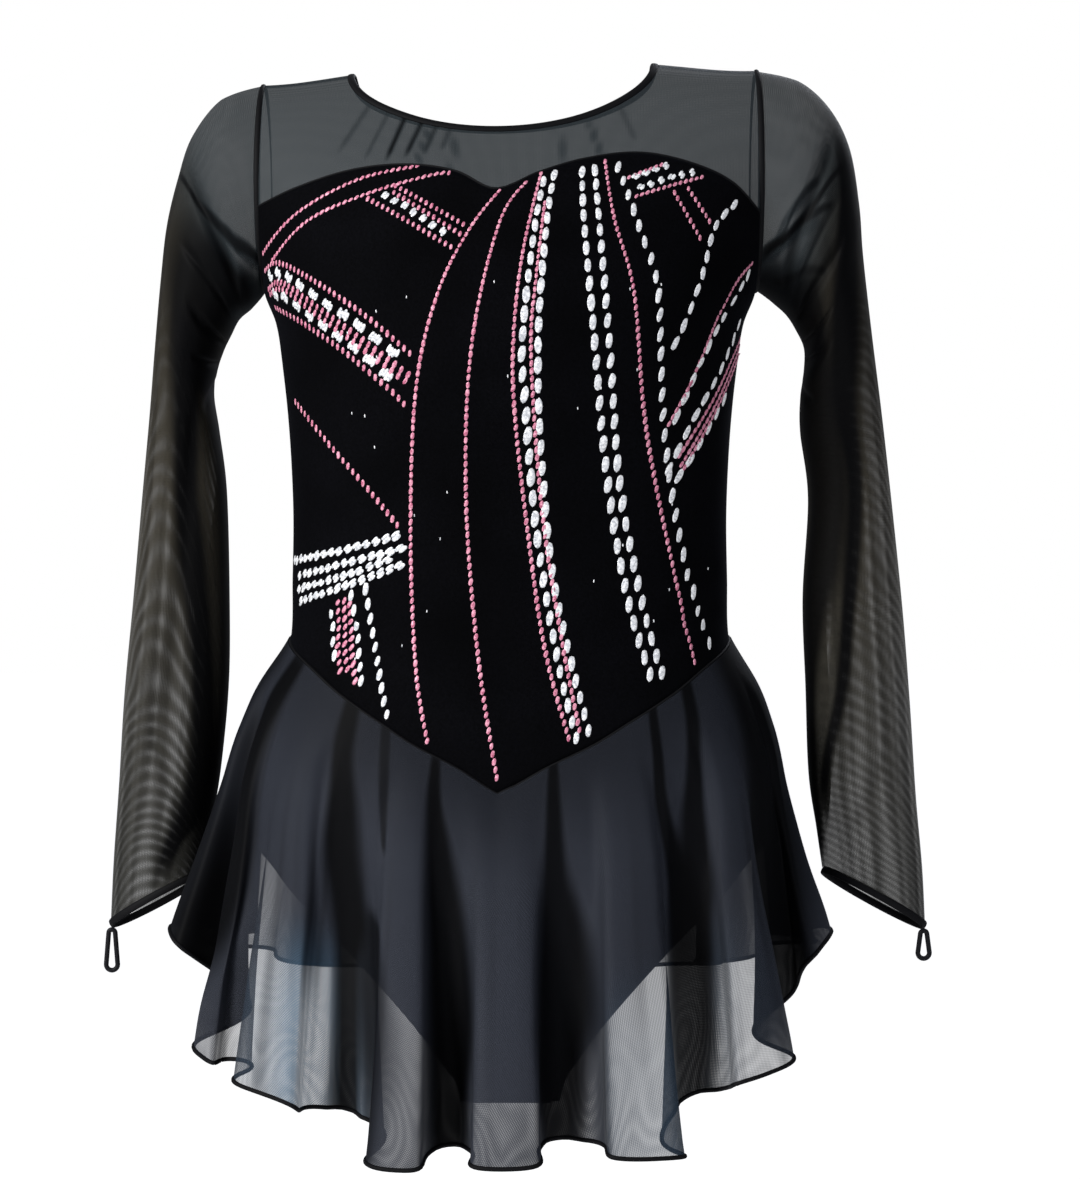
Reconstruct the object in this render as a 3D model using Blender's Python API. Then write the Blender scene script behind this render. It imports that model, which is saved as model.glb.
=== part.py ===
"""A figure skating dress, worn and filled out.

It has a sheer mesh yoke and sleeves, a velvet bodice, a sheer mesh skirt and a built-in velvet brief.
Sizes are in millimetres and turned to metres as the meshes are made. +Z is up, the front faces -Y and
+X is the viewer's right. The origin is the middle of the shoulder line, where the dress hangs on its
wearer. Heights are counted from the shoulder line, so they are negative.
"""

import math

import bmesh
import bpy
from mathutils import Vector

MM = 0.001
SAME_PLACE = 0.0001
GAP = 0.3
WALL_VELVET = 1.4
WALL_MESH = 1.0
WALL_BINDING = 1.6
HEM_ROLL = 2.2

FRONT, BACK = -1, 1
LEFT, RIGHT = -1, 1

# Torso sections: height, half width, depth in front of the side line and behind it
BODY = (
    (0, 147, 64, 60),
    (-40, 147, 67, 67),
    (-70, 147, 82, 79),
    (-100, 147, 97, 88),
    (-134, 147, 108, 94),
    (-155, 139.5, 110, 95),
    (-182, 135.5, 106, 93),
    (-210, 132.5, 99, 89),
    (-240, 130.5, 92, 84),
    (-271, 129.5, 86, 80),
    (-306, 130, 84, 80),
    (-342, 131, 86, 84),
    (-380, 140, 90, 92),
    (-420, 151, 93, 100),
    (-460, 158, 94, 106),
    (-500, 162, 93, 109),
    (-540, 163, 91, 108),
    (-620, 158, 86, 100),
)
SECTION_POWER = 2.3
RIDGE_ROUND = 60
CROTCH_Z = -620
CROTCH_ROUND = 110

ARMHOLE_X = 147
ARMHOLE_HEIGHT = 134
ARMHOLE_DEPTH = 46
SHOULDER_DROP = 7
SHOULDER_DROP_FROM = 60
SHOULDER_LEAN = 0.03
ARMPIT = -ARMHOLE_HEIGHT

PANEL_COLUMNS = 24
YOKE_ROWS = 5
YOKE_ROW_POWER = 1.7
BODICE_ROWS = 10
BRIEF_ROWS = 10
BRIEF_ROW_POWER = 1.3
NECK_COLUMNS = 10
NECK_SPAN = NECK_COLUMNS / PANEL_COLUMNS
NECK_LEFT = -96
NECK_RIGHT = 88
NECK_FRONT_DROP = 49
NECK_BACK_DROP = 30
BINDING_WIDTH = 4.5
BINDING_SIDES = 6
LONGEST_MITRE = 2

# Top edge of the bodice in front: place across as a share of the half width, height
SWEETHEART = (
    (-1.0, -86),
    (-0.83, -77),
    (-0.62, -70),
    (-0.38, -69),
    (-0.2, -74),
    (-0.05, -85),
    (0.12, -75),
    (0.3, -67),
    (0.52, -63),
    (0.72, -67),
    (0.88, -76),
    (1.0, -92),
)
BACK_TOP_SIDE = -100
BACK_TOP_CENTRE = -140

# Waist seam in front: share of the way from its point to the side seam, height
WAIST_FRONT = (
    (0.0, -429),
    (0.08, -415),
    (0.2, -401),
    (0.3, -389),
    (0.45, -374),
    (0.62, -359),
    (0.8, -349),
    (1.0, -341),
)
WAIST_SIDE = -341
WAIST_BACK_DROP = 35
WAIST_POINT = -0.016

# Leg line of the brief: height, half width in front, half width behind
LEG = (
    (-457, 158, 158),
    (-470, 141, 151),
    (-488, 125, 142),
    (-522, 90, 116),
    (-560, 57, 81),
    (-590, 37, 52),
    (-608, 27, 37),
    (-620, 24, 30),
)

# Skirt between its flutes: share of the way from seam to hem, how far it stands off the torso at the side,
# in front and behind
SKIRT_FLARE = (
    (0.0, 1.4, 1.4, 1.4),
    (0.15, 10.5, 6, 6.5),
    (0.3, 12, 9, 8),
    (0.5, 9.5, 15, 11),
    (0.74, 12, 25, 19),
    (1.0, 19, 36, 28),
)
SKIRT_FLUTE_GROWTH = 1.25

# Flutes of the skirt, from the back round by the viewer's left: angle of the ridge, how far it stands out,
# angle of the valley after it, how far that goes in
FLUTES = (
    (-176, 20, -163, 16),
    (-150, 20, -137, 15),
    (-122, 16, -99, 18),
    (-84, 27, -74, 18),
    (-66, 15, -57, 2),
    (-47, 16, -28, 20),
    (-15.5, 22, -8.5, 17),
    (-0.5, 24, 8.5, 17),
    (20.5, 24, 34.5, 19),
    (47, 16, 63, 14),
    (84, 9, 101, 14),
    (118, 18, 133, 16),
    (147, 20, 165, 15),
)
FLUTE_TUCK = 0.5
RIDGE_BREADTH = 1.35

# Hem of the skirt: angle from the front, height
HEM = (
    (-180, -572),
    (-135, -548),
    (-104, -524),
    (-86, -514),
    (-80, -526),
    (-73, -561),
    (-65, -583),
    (-56, -584),
    (-47, -595),
    (-38, -606),
    (-30, -609),
    (-22, -627),
    (-15, -633),
    (-8.5, -627),
    (0, -631),
    (8.5, -623),
    (21, -627),
    (30, -624),
    (36, -601),
    (47, -586),
    (60, -568),
    (68, -551),
    (76, -531),
    (85, -516),
    (104, -524),
    (135, -548),
    (180, -572),
)
SKIRT_COLUMNS = 128
SKIRT_ROWS = 7
SKIRT_HALF = 131
SLOPE_ANGLE = 0.5
SLOPE_DOWN = 0.02

# Sleeve sections as seen from the front: outer edge x and height, inner edge x and height, middle's depth,
# half depth. x is counted away from the middle of the dress.
SLEEVE_LEFT = (
    (147.3, -11, 147.3, -138, 0, 46),
    (172, -19, 156, -145, 1, 46),
    (190, -41, 163, -151, 2, 44),
    (199, -66, 168, -160, 4, 41),
    (206, -94, 173, -170, 6, 38),
    (210, -126, 177, -182, 8, 35),
    (214, -166, 179, -196, 11, 32),
    (218, -208, 176, -218, 15, 29),
    (223, -256, 172, -254, 19, 27),
    (229.5, -320, 171, -318, 25, 25),
    (235.5, -376, 172, -370, 30, 23),
    (239.5, -432, 177, -420, 34, 21),
    (243, -478, 183, -458, 36, 20),
    (245, -521, 186, -488, 36, 20),
)
SLEEVE_RIGHT = (
    (147.3, -3, 147.3, -131, 0, 46),
    (172, -8, 157, -140, 1, 46),
    (191, -24, 166, -148, 2, 44),
    (203.5, -48, 172, -157, 3, 41),
    (209.5, -82, 177, -168, 4, 38),
    (212, -112, 177, -181, 5, 35),
    (217.5, -158, 175, -197, 7, 32),
    (224, -208, 175, -218, 9, 30),
    (230, -258, 180, -258, 12, 28),
    (237, -322, 177, -318, 15, 26),
    (242, -380, 179, -372, 18, 25),
    (246, -438, 181, -424, 20, 24),
    (250, -482, 186, -458, 21, 23),
    (252, -520, 190, -485, 22, 22),
)
SLEEVE_COLUMNS = 18
SLEEVE_ROWS = 18
RING_SPACING = 40
DEGREE_ARC = 0.55
CUFF_RING_LENGTH = 37
FOLD_END = 0.25

# Folds of the sleeves: side, ring and angle where it starts, ring and angle where it ends, half width, depth.
# The angle runs from the outer edge (0) by the front (90) to the inner edge (180) and the back (270).
SLEEVE_FOLDS = (
    (LEFT, 2.6, 40, 1.2, 150, 7, 4.0),
    (LEFT, 4.6, 95, 3.4, 185, 6, 3.0),
    (LEFT, 7.5, 215, 12.2, 232, 6, 9.0),
    (LEFT, 6.2, 120, 11.0, 75, 7, 2.5),
    (RIGHT, 2.4, 40, 1.2, 150, 7, 4.0),
    (RIGHT, 3.9, 70, 2.6, 165, 6, 3.5),
    (RIGHT, 5.6, 105, 4.6, 185, 6, 3.0),
    (RIGHT, 7.0, 228, 12.2, 215, 6, 9.0),
    (RIGHT, 6.4, 80, 11.4, 110, 7, 2.5),
)

CUFF_WIDTH = 5
CUFF_TILT = 4
CUFF_TILT_RINGS = 3
LOOP_HEIGHT = {LEFT: 28, RIGHT: 20}
LOOP_TOP_RADIUS = 2
LOOP_LOW_RADIUS = 3.5
LOOP_THICK = 3.2
LOOP_ARC_POINTS = 6
LOOP_ANGLE = 20

CREASE_ANGLE = 40

# Colour, roughness
VELVET = ((0.006, 0.006, 0.009), 0.75)
MESH = ((0.02, 0.021, 0.024), 0.6)
BINDING = ((0.008, 0.008, 0.01), 0.6)
ELASTIC = ((0.01, 0.01, 0.012), 0.5)


def clear_scene():
    for thing in list(bpy.data.objects):
        bpy.data.objects.remove(thing)


def material(name, finish):
    colour, roughness = finish
    made = bpy.data.materials.new(name)
    made.use_nodes = True
    shader = made.node_tree.nodes["Principled BSDF"]
    shader.inputs["Base Color"].default_value = (*colour, 1)
    shader.inputs["Roughness"].default_value = roughness
    made.diffuse_color = (*colour, 1)
    return made


def along(table, at, column):
    """A smooth curve through one column of a table, whose first column rises or falls steadily."""
    rows = table if table[0][0] < table[-1][0] else table[::-1]
    last = len(rows) - 1
    i = next((k for k in range(last) if at <= rows[k + 1][0]), last - 1)

    def slope(k):
        low, high = rows[max(k - 1, 0)], rows[min(k + 1, last)]
        return (high[column] - low[column]) / (high[0] - low[0])

    start, end = rows[i], rows[i + 1]
    step = end[0] - start[0]
    t = min(max((at - start[0]) / step, 0), 1)
    a, b = start[column], end[column]
    rise_a, rise_b = slope(i) * step, slope(i + 1) * step
    return (
        a * (1 + 2 * t) * (1 - t) ** 2
        + b * t * t * (3 - 2 * t)
        + rise_a * t * (1 - t) ** 2
        - rise_b * t * t * (1 - t)
    )


def smooth_step(t):
    t = min(max(t, 0), 1)
    return t * t * (3 - 2 * t)


def half_round(t):
    """Height of a quarter circle that starts at 0 and is full at 1."""
    t = min(max(t, 0), 1)
    return math.sqrt(1 - (1 - t) ** 2)


def torso_depth(z, side):
    full = along(BODY, z, 2 if side == FRONT else 3)
    return full * half_round(-z / RIDGE_ROUND) * half_round((z - CROTCH_Z) / CROTCH_ROUND)


def armhole_depth(z):
    """How far the armhole's edge lies in front of or behind the shoulder line."""
    middle = ARMHOLE_HEIGHT / 2
    return ARMHOLE_DEPTH * math.sqrt(max(1 - ((z + middle) / middle) ** 2, 0))


def torso_half_width(z, side):
    """Above the armpit it is wide enough for the panel to meet the armhole's edge."""
    if z <= ARMPIT:
        return along(BODY, z, 1)
    z = min(z, -SAME_PLACE)
    share = armhole_depth(z) / torso_depth(z, side)
    return ARMHOLE_X / (1 - share**SECTION_POWER) ** (1 / SECTION_POWER)


def panel_half_width(z, side):
    """Half width of what is left between the armholes, at the side seams or between the leg lines."""
    if z > ARMPIT:
        return ARMHOLE_X
    if z < LEG[0][0]:
        return along(LEG, z, 1 if side == FRONT else 2)
    return torso_half_width(z, side)


def shoulder_shift(x, z):
    """The shoulders fall away from the neck, and the viewer's right one is a little higher."""
    fade = smooth_step(1 + z / ARMHOLE_HEIGHT)
    out = (abs(x) - SHOULDER_DROP_FROM) / (ARMHOLE_X - SHOULDER_DROP_FROM)
    fall = SHOULDER_DROP * smooth_step(out)
    return (SHOULDER_LEAN * x - fall) * fade


def torso_at(x, z, side):
    """A point of the torso straight in front of or behind a place x on the side line."""
    reach = min(abs(x) / torso_half_width(z, side), 1)
    y = torso_depth(z, side) * (1 - reach**SECTION_POWER) ** (1 / SECTION_POWER)
    return Vector((x, side * (y + GAP / 2), z + shoulder_shift(x, z)))


def torso_point(share, z, side):
    """A point of the torso, at a share of the panel's half width."""
    return torso_at(panel_half_width(z, side) * share, z, side)


def torso_normal(x, z, side):
    across = torso_at(x + 1, z, side) - torso_at(x - 1, z, side)
    down = torso_at(x, z - 1, side) - torso_at(x, z, side)
    return (across.cross(down) * side).normalized()


def column_share(u):
    """Places the columns evenly round the section, so that they come closer in x towards the sides."""
    return math.copysign(abs(math.sin(u * math.pi / 2)) ** (2 / SECTION_POWER), u)


def columns(count):
    return [2 * i / count - 1 for i in range(count + 1)]


def neck_edge(u, side):
    """Place of the yoke's top edge: the neck line, or the shoulder seam beside it."""
    if abs(u) >= NECK_SPAN:
        corner = NECK_RIGHT if u > 0 else NECK_LEFT
        first = column_share(NECK_SPAN)
        out = (abs(column_share(u)) - first) / (1 - first)
        return corner + (math.copysign(ARMHOLE_X, u) - corner) * out, 0
    drop = NECK_FRONT_DROP if side == FRONT else NECK_BACK_DROP
    turn = u / NECK_SPAN * math.pi / 2
    middle, half = (NECK_LEFT + NECK_RIGHT) / 2, (NECK_RIGHT - NECK_LEFT) / 2
    return middle + half * math.sin(turn), -drop * math.cos(turn)


def yoke_bottom(share, side):
    if side == FRONT:
        return along(SWEETHEART, share, 1)
    return BACK_TOP_SIDE + (BACK_TOP_CENTRE - BACK_TOP_SIDE) * (1 - share * share)


def waist_edge(u, side):
    """The waist seam is a V in front, its point a little to the viewer's left, and a soft dip behind."""
    if side == BACK:
        return WAIST_SIDE - WAIST_BACK_DROP * (1 - u * u)
    off = u - WAIST_POINT
    to_side = 1 - WAIST_POINT if off > 0 else 1 + WAIST_POINT
    return along(WAIST_FRONT, abs(off) / to_side, 1)


def drawn_to_point(u, side):
    """Draws the front's middle columns to the point of the V, so that it has a corner there."""
    return u + WAIST_POINT * (1 - abs(u)) if side == FRONT else u


def grid_between(top, bottom, side, rows, spacing):
    """Rows of torso points from a top edge to a bottom edge, both given as heights for a column."""
    grid = []
    for row in range(rows + 1):
        share_down = spacing(row / rows)
        line = []
        for column in columns(PANEL_COLUMNS):
            u = drawn_to_point(column, side)
            high, low = top(u), bottom(u)
            line.append(torso_point(column_share(u), high + (low - high) * share_down, side))
        grid.append(line)
    return grid


def sheet_faces(bm, grid, around):
    """The grid's points and quads, closed round on itself where it is a tube."""
    made = [[bm.verts.new(point * MM) for point in line] for line in grid]
    wide = len(grid[0])
    last = wide if around else wide - 1
    for upper, lower in zip(made, made[1:]):
        for i in range(last):
            j = (i + 1) % wide
            bm.faces.new((upper[i], upper[j], lower[j], lower[i]))
    return made


def wall(name, grid, thickness, finish, around=False, stay=None, outwards=True, normals=None):
    """A cloth wall: the outer points, the same points moved in, and the rim that joins them."""
    bm = bmesh.new()
    outer = sheet_faces(bm, grid, around)
    if not outwards:
        bmesh.ops.reverse_faces(bm, faces=bm.faces[:])
    bm.normal_update()
    inner = []
    for row, line in enumerate(outer):
        depth = thickness(row / (len(outer) - 1)) if callable(thickness) else thickness
        moved = []
        for column, vert in enumerate(line):
            normal = normals[row][column] if normals else vert.normal
            place = vert.co - normal * depth * MM
            moved.append(bm.verts.new(stay(vert.co, place) if stay else place))
        inner.append(moved)
    wide = len(grid[0])
    last = wide if around else wide - 1

    def quad(a, b, c, d):
        bm.faces.new((a, b, c, d) if outwards else (d, c, b, a))

    for upper, lower in zip(inner, inner[1:]):
        for i in range(last):
            j = (i + 1) % wide
            quad(lower[i], lower[j], upper[j], upper[i])
    for i in range(last):
        j = (i + 1) % wide
        quad(inner[0][i], inner[0][j], outer[0][j], outer[0][i])
        quad(outer[-1][i], outer[-1][j], inner[-1][j], inner[-1][i])
    if not around:
        for k in range(len(outer) - 1):
            quad(inner[k + 1][0], inner[k][0], outer[k][0], outer[k + 1][0])
            quad(outer[k + 1][-1], outer[k][-1], inner[k][-1], inner[k + 1][-1])
    return finish_mesh(name, bm, finish)


def finish_mesh(name, bm, finish):
    mesh = bpy.data.meshes.new(name)
    bmesh.ops.triangulate(bm, faces=bm.faces[:], quad_method="SHORT_EDGE")
    bm.to_mesh(mesh)
    bm.free()
    mesh.shade_smooth()
    mesh.set_sharp_from_angle(angle=math.radians(CREASE_ANGLE))
    thing = bpy.data.objects.new(name, mesh)
    bpy.context.scene.collection.objects.link(thing)
    mesh.materials.append(material(name, finish))
    return thing


def own_side(side):
    """Keeps the inner points of a front or back panel on their own side of the seams."""

    def stay(_, place):
        y = side * max(side * place.y, GAP / 2 * MM)
        x = place.x
        if place.z > ARMPIT * MM:
            x = math.copysign(min(abs(x), ARMHOLE_X * MM), x)
        return Vector((x, y, place.z))

    return stay


def even(t):
    return t


def closer_at_top(t):
    return t**YOKE_ROW_POWER


def closer_at_bottom(t):
    return 1 - (1 - t) ** BRIEF_ROW_POWER


def yoke_grid(side):
    """The yoke's columns spread from the neck line and shoulder seam down to the bodice's top edge."""
    grid = []
    for row in range(YOKE_ROWS + 1):
        down = closer_at_top(row / YOKE_ROWS)
        line = []
        for u in columns(PANEL_COLUMNS):
            top_x, top_z = neck_edge(u, side)
            share = column_share(drawn_to_point(u, side))
            low_x = ARMHOLE_X * share
            low_z = yoke_bottom(share, side) + GAP / 2
            line.append(torso_at(top_x + (low_x - top_x) * down, top_z + (low_z - top_z) * down, side))
        grid.append(line)
    return grid


def make_torso(side, label):
    """Yoke, bodice and brief of the front or of the back."""
    shared = {"stay": own_side(side), "outwards": side == BACK}

    def bodice_high(u):
        return yoke_bottom(column_share(u), side) - GAP / 2

    def bodice_low(u):
        return waist_edge(u, side) + GAP / 2

    def brief_high(u):
        return waist_edge(u, side) - GAP / 2

    def brief_low(_):
        return CROTCH_Z

    wall(f"yoke_{label}", yoke_grid(side), WALL_MESH, MESH, **shared)
    bodice = grid_between(bodice_high, bodice_low, side, BODICE_ROWS, even)
    wall(f"bodice_{label}", bodice, WALL_VELVET, VELVET, **shared)
    brief = grid_between(brief_high, brief_low, side, BRIEF_ROWS, closer_at_bottom)
    wall(f"brief_{label}", brief, WALL_VELVET, VELVET, **shared)


def make_neck_binding():
    """A folded strip that closes the neck line, beside the top edge of both yokes."""
    first = (PANEL_COLUMNS - NECK_COLUMNS) // 2
    inside = columns(PANEL_COLUMNS)[first : first + NECK_COLUMNS + 1]
    route = [(neck_edge(u, FRONT), FRONT) for u in inside]
    route += [(neck_edge(u, BACK), BACK) for u in inside[-2:0:-1]]
    points = [torso_at(x, z, side) for (x, z), side in route]
    normals = [torso_normal(x, z, side) for (x, z), side in route]
    for i in (0, len(inside) - 1):
        points[i].y = 0
        normals[i] = Vector((0, 0, 1))
    count = len(points)
    grid = []
    for i in range(count):
        ahead = (points[(i + 1) % count] - points[i]).normalized()
        behind = (points[i] - points[i - 1]).normalized()
        run = (ahead + behind).normalized()
        mitre = min(1 / run.dot(ahead), LONGEST_MITRE)
        inward = normals[i].cross(run).normalized()
        middle = points[i] + inward * (GAP + BINDING_WIDTH / 2) * mitre - normals[i] * WALL_MESH / 2
        ring = []
        for k in range(BINDING_SIDES):
            turn = 2 * math.pi * k / BINDING_SIDES
            wide = inward * math.cos(turn) * BINDING_WIDTH / 2 * mitre
            thick = normals[i] * math.sin(turn) * WALL_BINDING / 2
            ring.append(middle + wide + thick)
        grid.append(ring)
    closed_tube("neck_binding", grid, BINDING)


def closed_tube(name, grid, finish):
    """A tube whose rings run round and meet where they began."""
    bm = bmesh.new()
    sheet_faces(bm, grid + [grid[0]], True)
    bmesh.ops.remove_doubles(bm, verts=bm.verts[:], dist=SAME_PLACE * MM)
    bmesh.ops.recalc_face_normals(bm, faces=bm.faces[:])
    return finish_mesh(name, bm, finish)


def flute_at(angle):
    """How far the skirt stands out of its mean form at an angle, and the turn within the flute."""
    ridges = [(a, reach) for a, reach, _, _ in FLUTES]
    valleys = [(a, -depth) for _, _, a, depth in FLUTES]
    marks = sorted(ridges + valleys)
    marks = [(marks[-1][0] - 360, marks[-1][1])] + marks + [(marks[0][0] + 360, marks[0][1])]
    if angle < marks[1][0]:
        angle += 360 if angle + 360 <= marks[-1][0] else 0
    i = next((k for k in range(len(marks) - 1) if angle <= marks[k + 1][0]), len(marks) - 2)
    (from_angle, from_reach), (to_angle, to_reach) = marks[i], marks[i + 1]
    t = (angle - from_angle) / (to_angle - from_angle)
    leave = t**RIDGE_BREADTH if from_reach > to_reach else 1 - (1 - t) ** RIDGE_BREADTH
    reach = from_reach + (to_reach - from_reach) * (1 - math.cos(math.pi * leave)) / 2
    sway = math.sin(2 * math.pi * t) * (to_angle - from_angle)
    return reach, sway


def skirt_point(angle, down):
    """A point of the skirt at an angle from the front and a share of the way from seam to hem."""
    side = FRONT if abs(angle) <= 90 else BACK
    u = angle / 90 if side == FRONT else math.copysign(180 - abs(angle), angle) / 90
    seam = waist_edge(u, side)
    z = seam + (along(HEM, angle, 1) - seam) * down
    wide = along(BODY, z, 1) + along(SKIRT_FLARE, down, 1)
    column = 2 if side == FRONT else 3
    deep = along(BODY, z, column) + along(SKIRT_FLARE, down, column)
    share = column_share(u)
    x = wide * share
    y = side * deep * (1 - abs(share) ** SECTION_POWER) ** (1 / SECTION_POWER)
    out = Vector((x / wide**2, y / deep**2, 0)).normalized()
    beside = Vector((-out.y, out.x, 0))
    growth = down**SKIRT_FLUTE_GROWTH
    reach, sway = flute_at(angle)
    degree = math.radians(1) * (wide + deep) / 2
    tuck = sway * degree * FLUTE_TUCK / math.pi
    return Vector((x, y, z)) + (out * reach + beside * tuck) * growth


def skirt_normal(angle, down):
    right, left = wrapped(angle + SLOPE_ANGLE), wrapped(angle - SLOPE_ANGLE)
    across = skirt_point(right, down) - skirt_point(left, down)
    low, high = min(down + SLOPE_DOWN, 1), max(down - SLOPE_DOWN, 0)
    downwards = skirt_point(angle, low) - skirt_point(angle, high)
    return downwards.cross(across).normalized()


def wrapped(angle):
    return (angle + 180) % 360 - 180


def make_skirt(side, label):
    """Half of the skirt, from side seam to side seam."""
    half = SKIRT_COLUMNS // 2
    first = -90 if side == FRONT else 90
    seam_gap = math.degrees(GAP / 2 / SKIRT_HALF)
    angles = [first + 180 * i / half for i in range(half + 1)]
    angles[0] += seam_gap
    angles[-1] -= seam_gap
    rows = [row / SKIRT_ROWS for row in range(SKIRT_ROWS + 1)]
    grid = [[skirt_point(wrapped(angle), down) for angle in angles] for down in rows]
    normals = [[skirt_normal(wrapped(angle), down) for angle in angles] for down in rows]

    def thickness(down):
        return HEM_ROLL if down == 1 else WALL_MESH

    wall(f"skirt_{label}", grid, thickness, MESH, outwards=False, normals=normals)


def sleeve_section(table, ring, column):
    return along([(i, *row) for i, row in enumerate(table)], ring, column + 1)


def sleeve_point(side, ring, angle):
    """A point of a sleeve: the angle runs from the outer edge by the front to the inner edge."""
    table = SLEEVE_LEFT if side == LEFT else SLEEVE_RIGHT
    outer = Vector((sleeve_section(table, ring, 0), 0, sleeve_section(table, ring, 1)))
    inner = Vector((sleeve_section(table, ring, 2), 0, sleeve_section(table, ring, 3)))
    middle = (outer + inner) / 2
    middle.y = sleeve_section(table, ring, 4)
    turn = math.radians(angle)
    from_middle = (outer - inner) / 2 * math.cos(turn)
    from_middle.y = -sleeve_section(table, ring, 5) * math.sin(turn)
    place = middle + from_middle * (1 - sleeve_dent(side, ring, angle) / from_middle.length)
    place.x *= side
    to_cuff = smooth_step((ring - len(table) + 1) / CUFF_TILT_RINGS + 1)
    place.z += CUFF_TILT * math.sin(turn) * to_cuff
    if ring >= 1:
        return place
    high = -ARMHOLE_HEIGHT / 2 * (1 - math.cos(turn))
    x = side * (ARMHOLE_X + GAP)
    seam = Vector((x, -ARMHOLE_DEPTH * math.sin(turn), high + shoulder_shift(side * ARMHOLE_X, high)))
    return seam.lerp(place, ring)


def sleeve_dent(side, ring, angle):
    """Depth of the folds at a place on a sleeve."""
    deep = 0
    for fold_side, from_ring, from_angle, to_ring, to_angle, half, depth in SLEEVE_FOLDS:
        if fold_side != side:
            continue
        run = Vector(((to_ring - from_ring) * RING_SPACING, (to_angle - from_angle) * DEGREE_ARC))
        off = Vector(((ring - from_ring) * RING_SPACING, wrapped(angle - from_angle) * DEGREE_ARC))
        t = min(max(off.dot(run) / run.length_squared, 0), 1)
        away = (off - run * t).length / half
        ends = smooth_step(t / FOLD_END) * smooth_step((1 - t) / FOLD_END)
        deep += depth * math.exp(-away * away) * ends
    return deep


def sleeve_grid(side, rings):
    turns = [360 * i / SLEEVE_COLUMNS for i in range(SLEEVE_COLUMNS)]
    return [[sleeve_point(side, ring, turn) for turn in turns] for ring in rings]


def beside_armhole(_, place):
    x = math.copysign(max(abs(place.x), (ARMHOLE_X + GAP) * MM), place.x)
    return Vector((x, place.y, place.z))


def make_sleeve(side, label):
    """The sleeve, the binding on its slanted end and the finger loop under its longest point."""
    table = SLEEVE_LEFT if side == LEFT else SLEEVE_RIGHT
    last = len(table) - 1
    sewn = last - (CUFF_WIDTH + GAP) / CUFF_RING_LENGTH
    start = last - CUFF_WIDTH / CUFF_RING_LENGTH
    rings = [sewn * i / SLEEVE_ROWS for i in range(SLEEVE_ROWS + 1)]
    wall(
        f"sleeve_{label}",
        sleeve_grid(side, rings),
        WALL_MESH,
        MESH,
        around=True,
        stay=beside_armhole,
        outwards=side == LEFT,
    )
    cuff = sleeve_grid(side, (start, (start + last) / 2, last))
    wall(f"cuff_{label}", cuff, WALL_BINDING, BINDING, around=True, outwards=side == LEFT)
    make_loop(label, sleeve_point(side, last, LOOP_ANGLE), LOOP_HEIGHT[side])


def half_circle(middle, radius, start):
    """Points of a half circle as seen from the front, turning left from an angle in degrees."""
    turns = [math.radians(start + 180 * i / LOOP_ARC_POINTS) for i in range(LOOP_ARC_POINTS + 1)]
    return [middle + Vector((math.cos(turn), 0, math.sin(turn))) * radius for turn in turns]


def make_loop(label, top, high):
    """A drop-shaped ring of thin elastic, hanging from the cuff: a small half circle over a larger one."""
    upper = top - Vector((0, 0, GAP + LOOP_THICK / 2 + LOOP_TOP_RADIUS))
    lower = top - Vector((0, 0, GAP + high - LOOP_THICK / 2 - LOOP_LOW_RADIUS))
    points = half_circle(upper, LOOP_TOP_RADIUS, 0) + half_circle(lower, LOOP_LOW_RADIUS, 180)
    depth = Vector((0, 1, 0))
    grid = []
    for i, point in enumerate(points):
        run = (points[(i + 1) % len(points)] - points[i - 1]).normalized()
        across = run.cross(depth)
        ring = []
        for k in range(BINDING_SIDES):
            turn = 2 * math.pi * k / BINDING_SIDES
            ring.append(point + (across * math.cos(turn) + depth * math.sin(turn)) * LOOP_THICK / 2)
        grid.append(ring)
    closed_tube(f"loop_{label}", grid, ELASTIC)


def main():
    clear_scene()
    make_torso(FRONT, "front")
    make_torso(BACK, "back")
    make_neck_binding()
    make_skirt(FRONT, "front")
    make_skirt(BACK, "back")
    make_sleeve(LEFT, "left")
    make_sleeve(RIGHT, "right")


main()
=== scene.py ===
# %% [markdown]
# A figure skating dress, worn and filled out, made in Blender over its own CAD model.
# The real one is sewn from two stretch cloths: an opaque black velvet for the body and the built-in
# brief, and a sheer black net for the yoke, the sleeves and the skirt. Rows of pink and silver glitter
# dashes run over the front. Sizes are in millimetres and become metres as the meshes are made. +Z is up,
# the front faces -Y, +X is the viewer's right, and the origin is the middle of the shoulder line.

import math
import random
from functools import cache

import bmesh
import bpy
from mathutils import Matrix, Vector, noise


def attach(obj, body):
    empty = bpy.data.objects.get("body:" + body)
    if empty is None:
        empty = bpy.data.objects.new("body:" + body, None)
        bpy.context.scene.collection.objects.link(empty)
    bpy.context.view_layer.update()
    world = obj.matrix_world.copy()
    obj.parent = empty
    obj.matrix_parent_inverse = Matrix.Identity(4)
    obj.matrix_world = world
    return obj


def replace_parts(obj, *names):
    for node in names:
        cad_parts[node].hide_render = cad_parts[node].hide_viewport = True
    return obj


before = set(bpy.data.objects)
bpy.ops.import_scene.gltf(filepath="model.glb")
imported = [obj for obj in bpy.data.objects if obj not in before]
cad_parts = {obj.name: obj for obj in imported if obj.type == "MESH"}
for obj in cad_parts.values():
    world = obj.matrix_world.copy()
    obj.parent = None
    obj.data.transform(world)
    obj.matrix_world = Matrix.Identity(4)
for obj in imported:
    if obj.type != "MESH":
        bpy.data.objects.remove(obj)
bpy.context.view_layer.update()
MM = 0.001
SAME_PLACE = 0.0001

# %% [markdown]
# The photograph looks straight at the front, about level with the waist. How far away its camera stood
# isn't known, and 1.7 m is assumed. The lens follows from that: at the depth of the side seams one pixel
# of the 1080 x 1179 frame is 0.6 mm.

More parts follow.
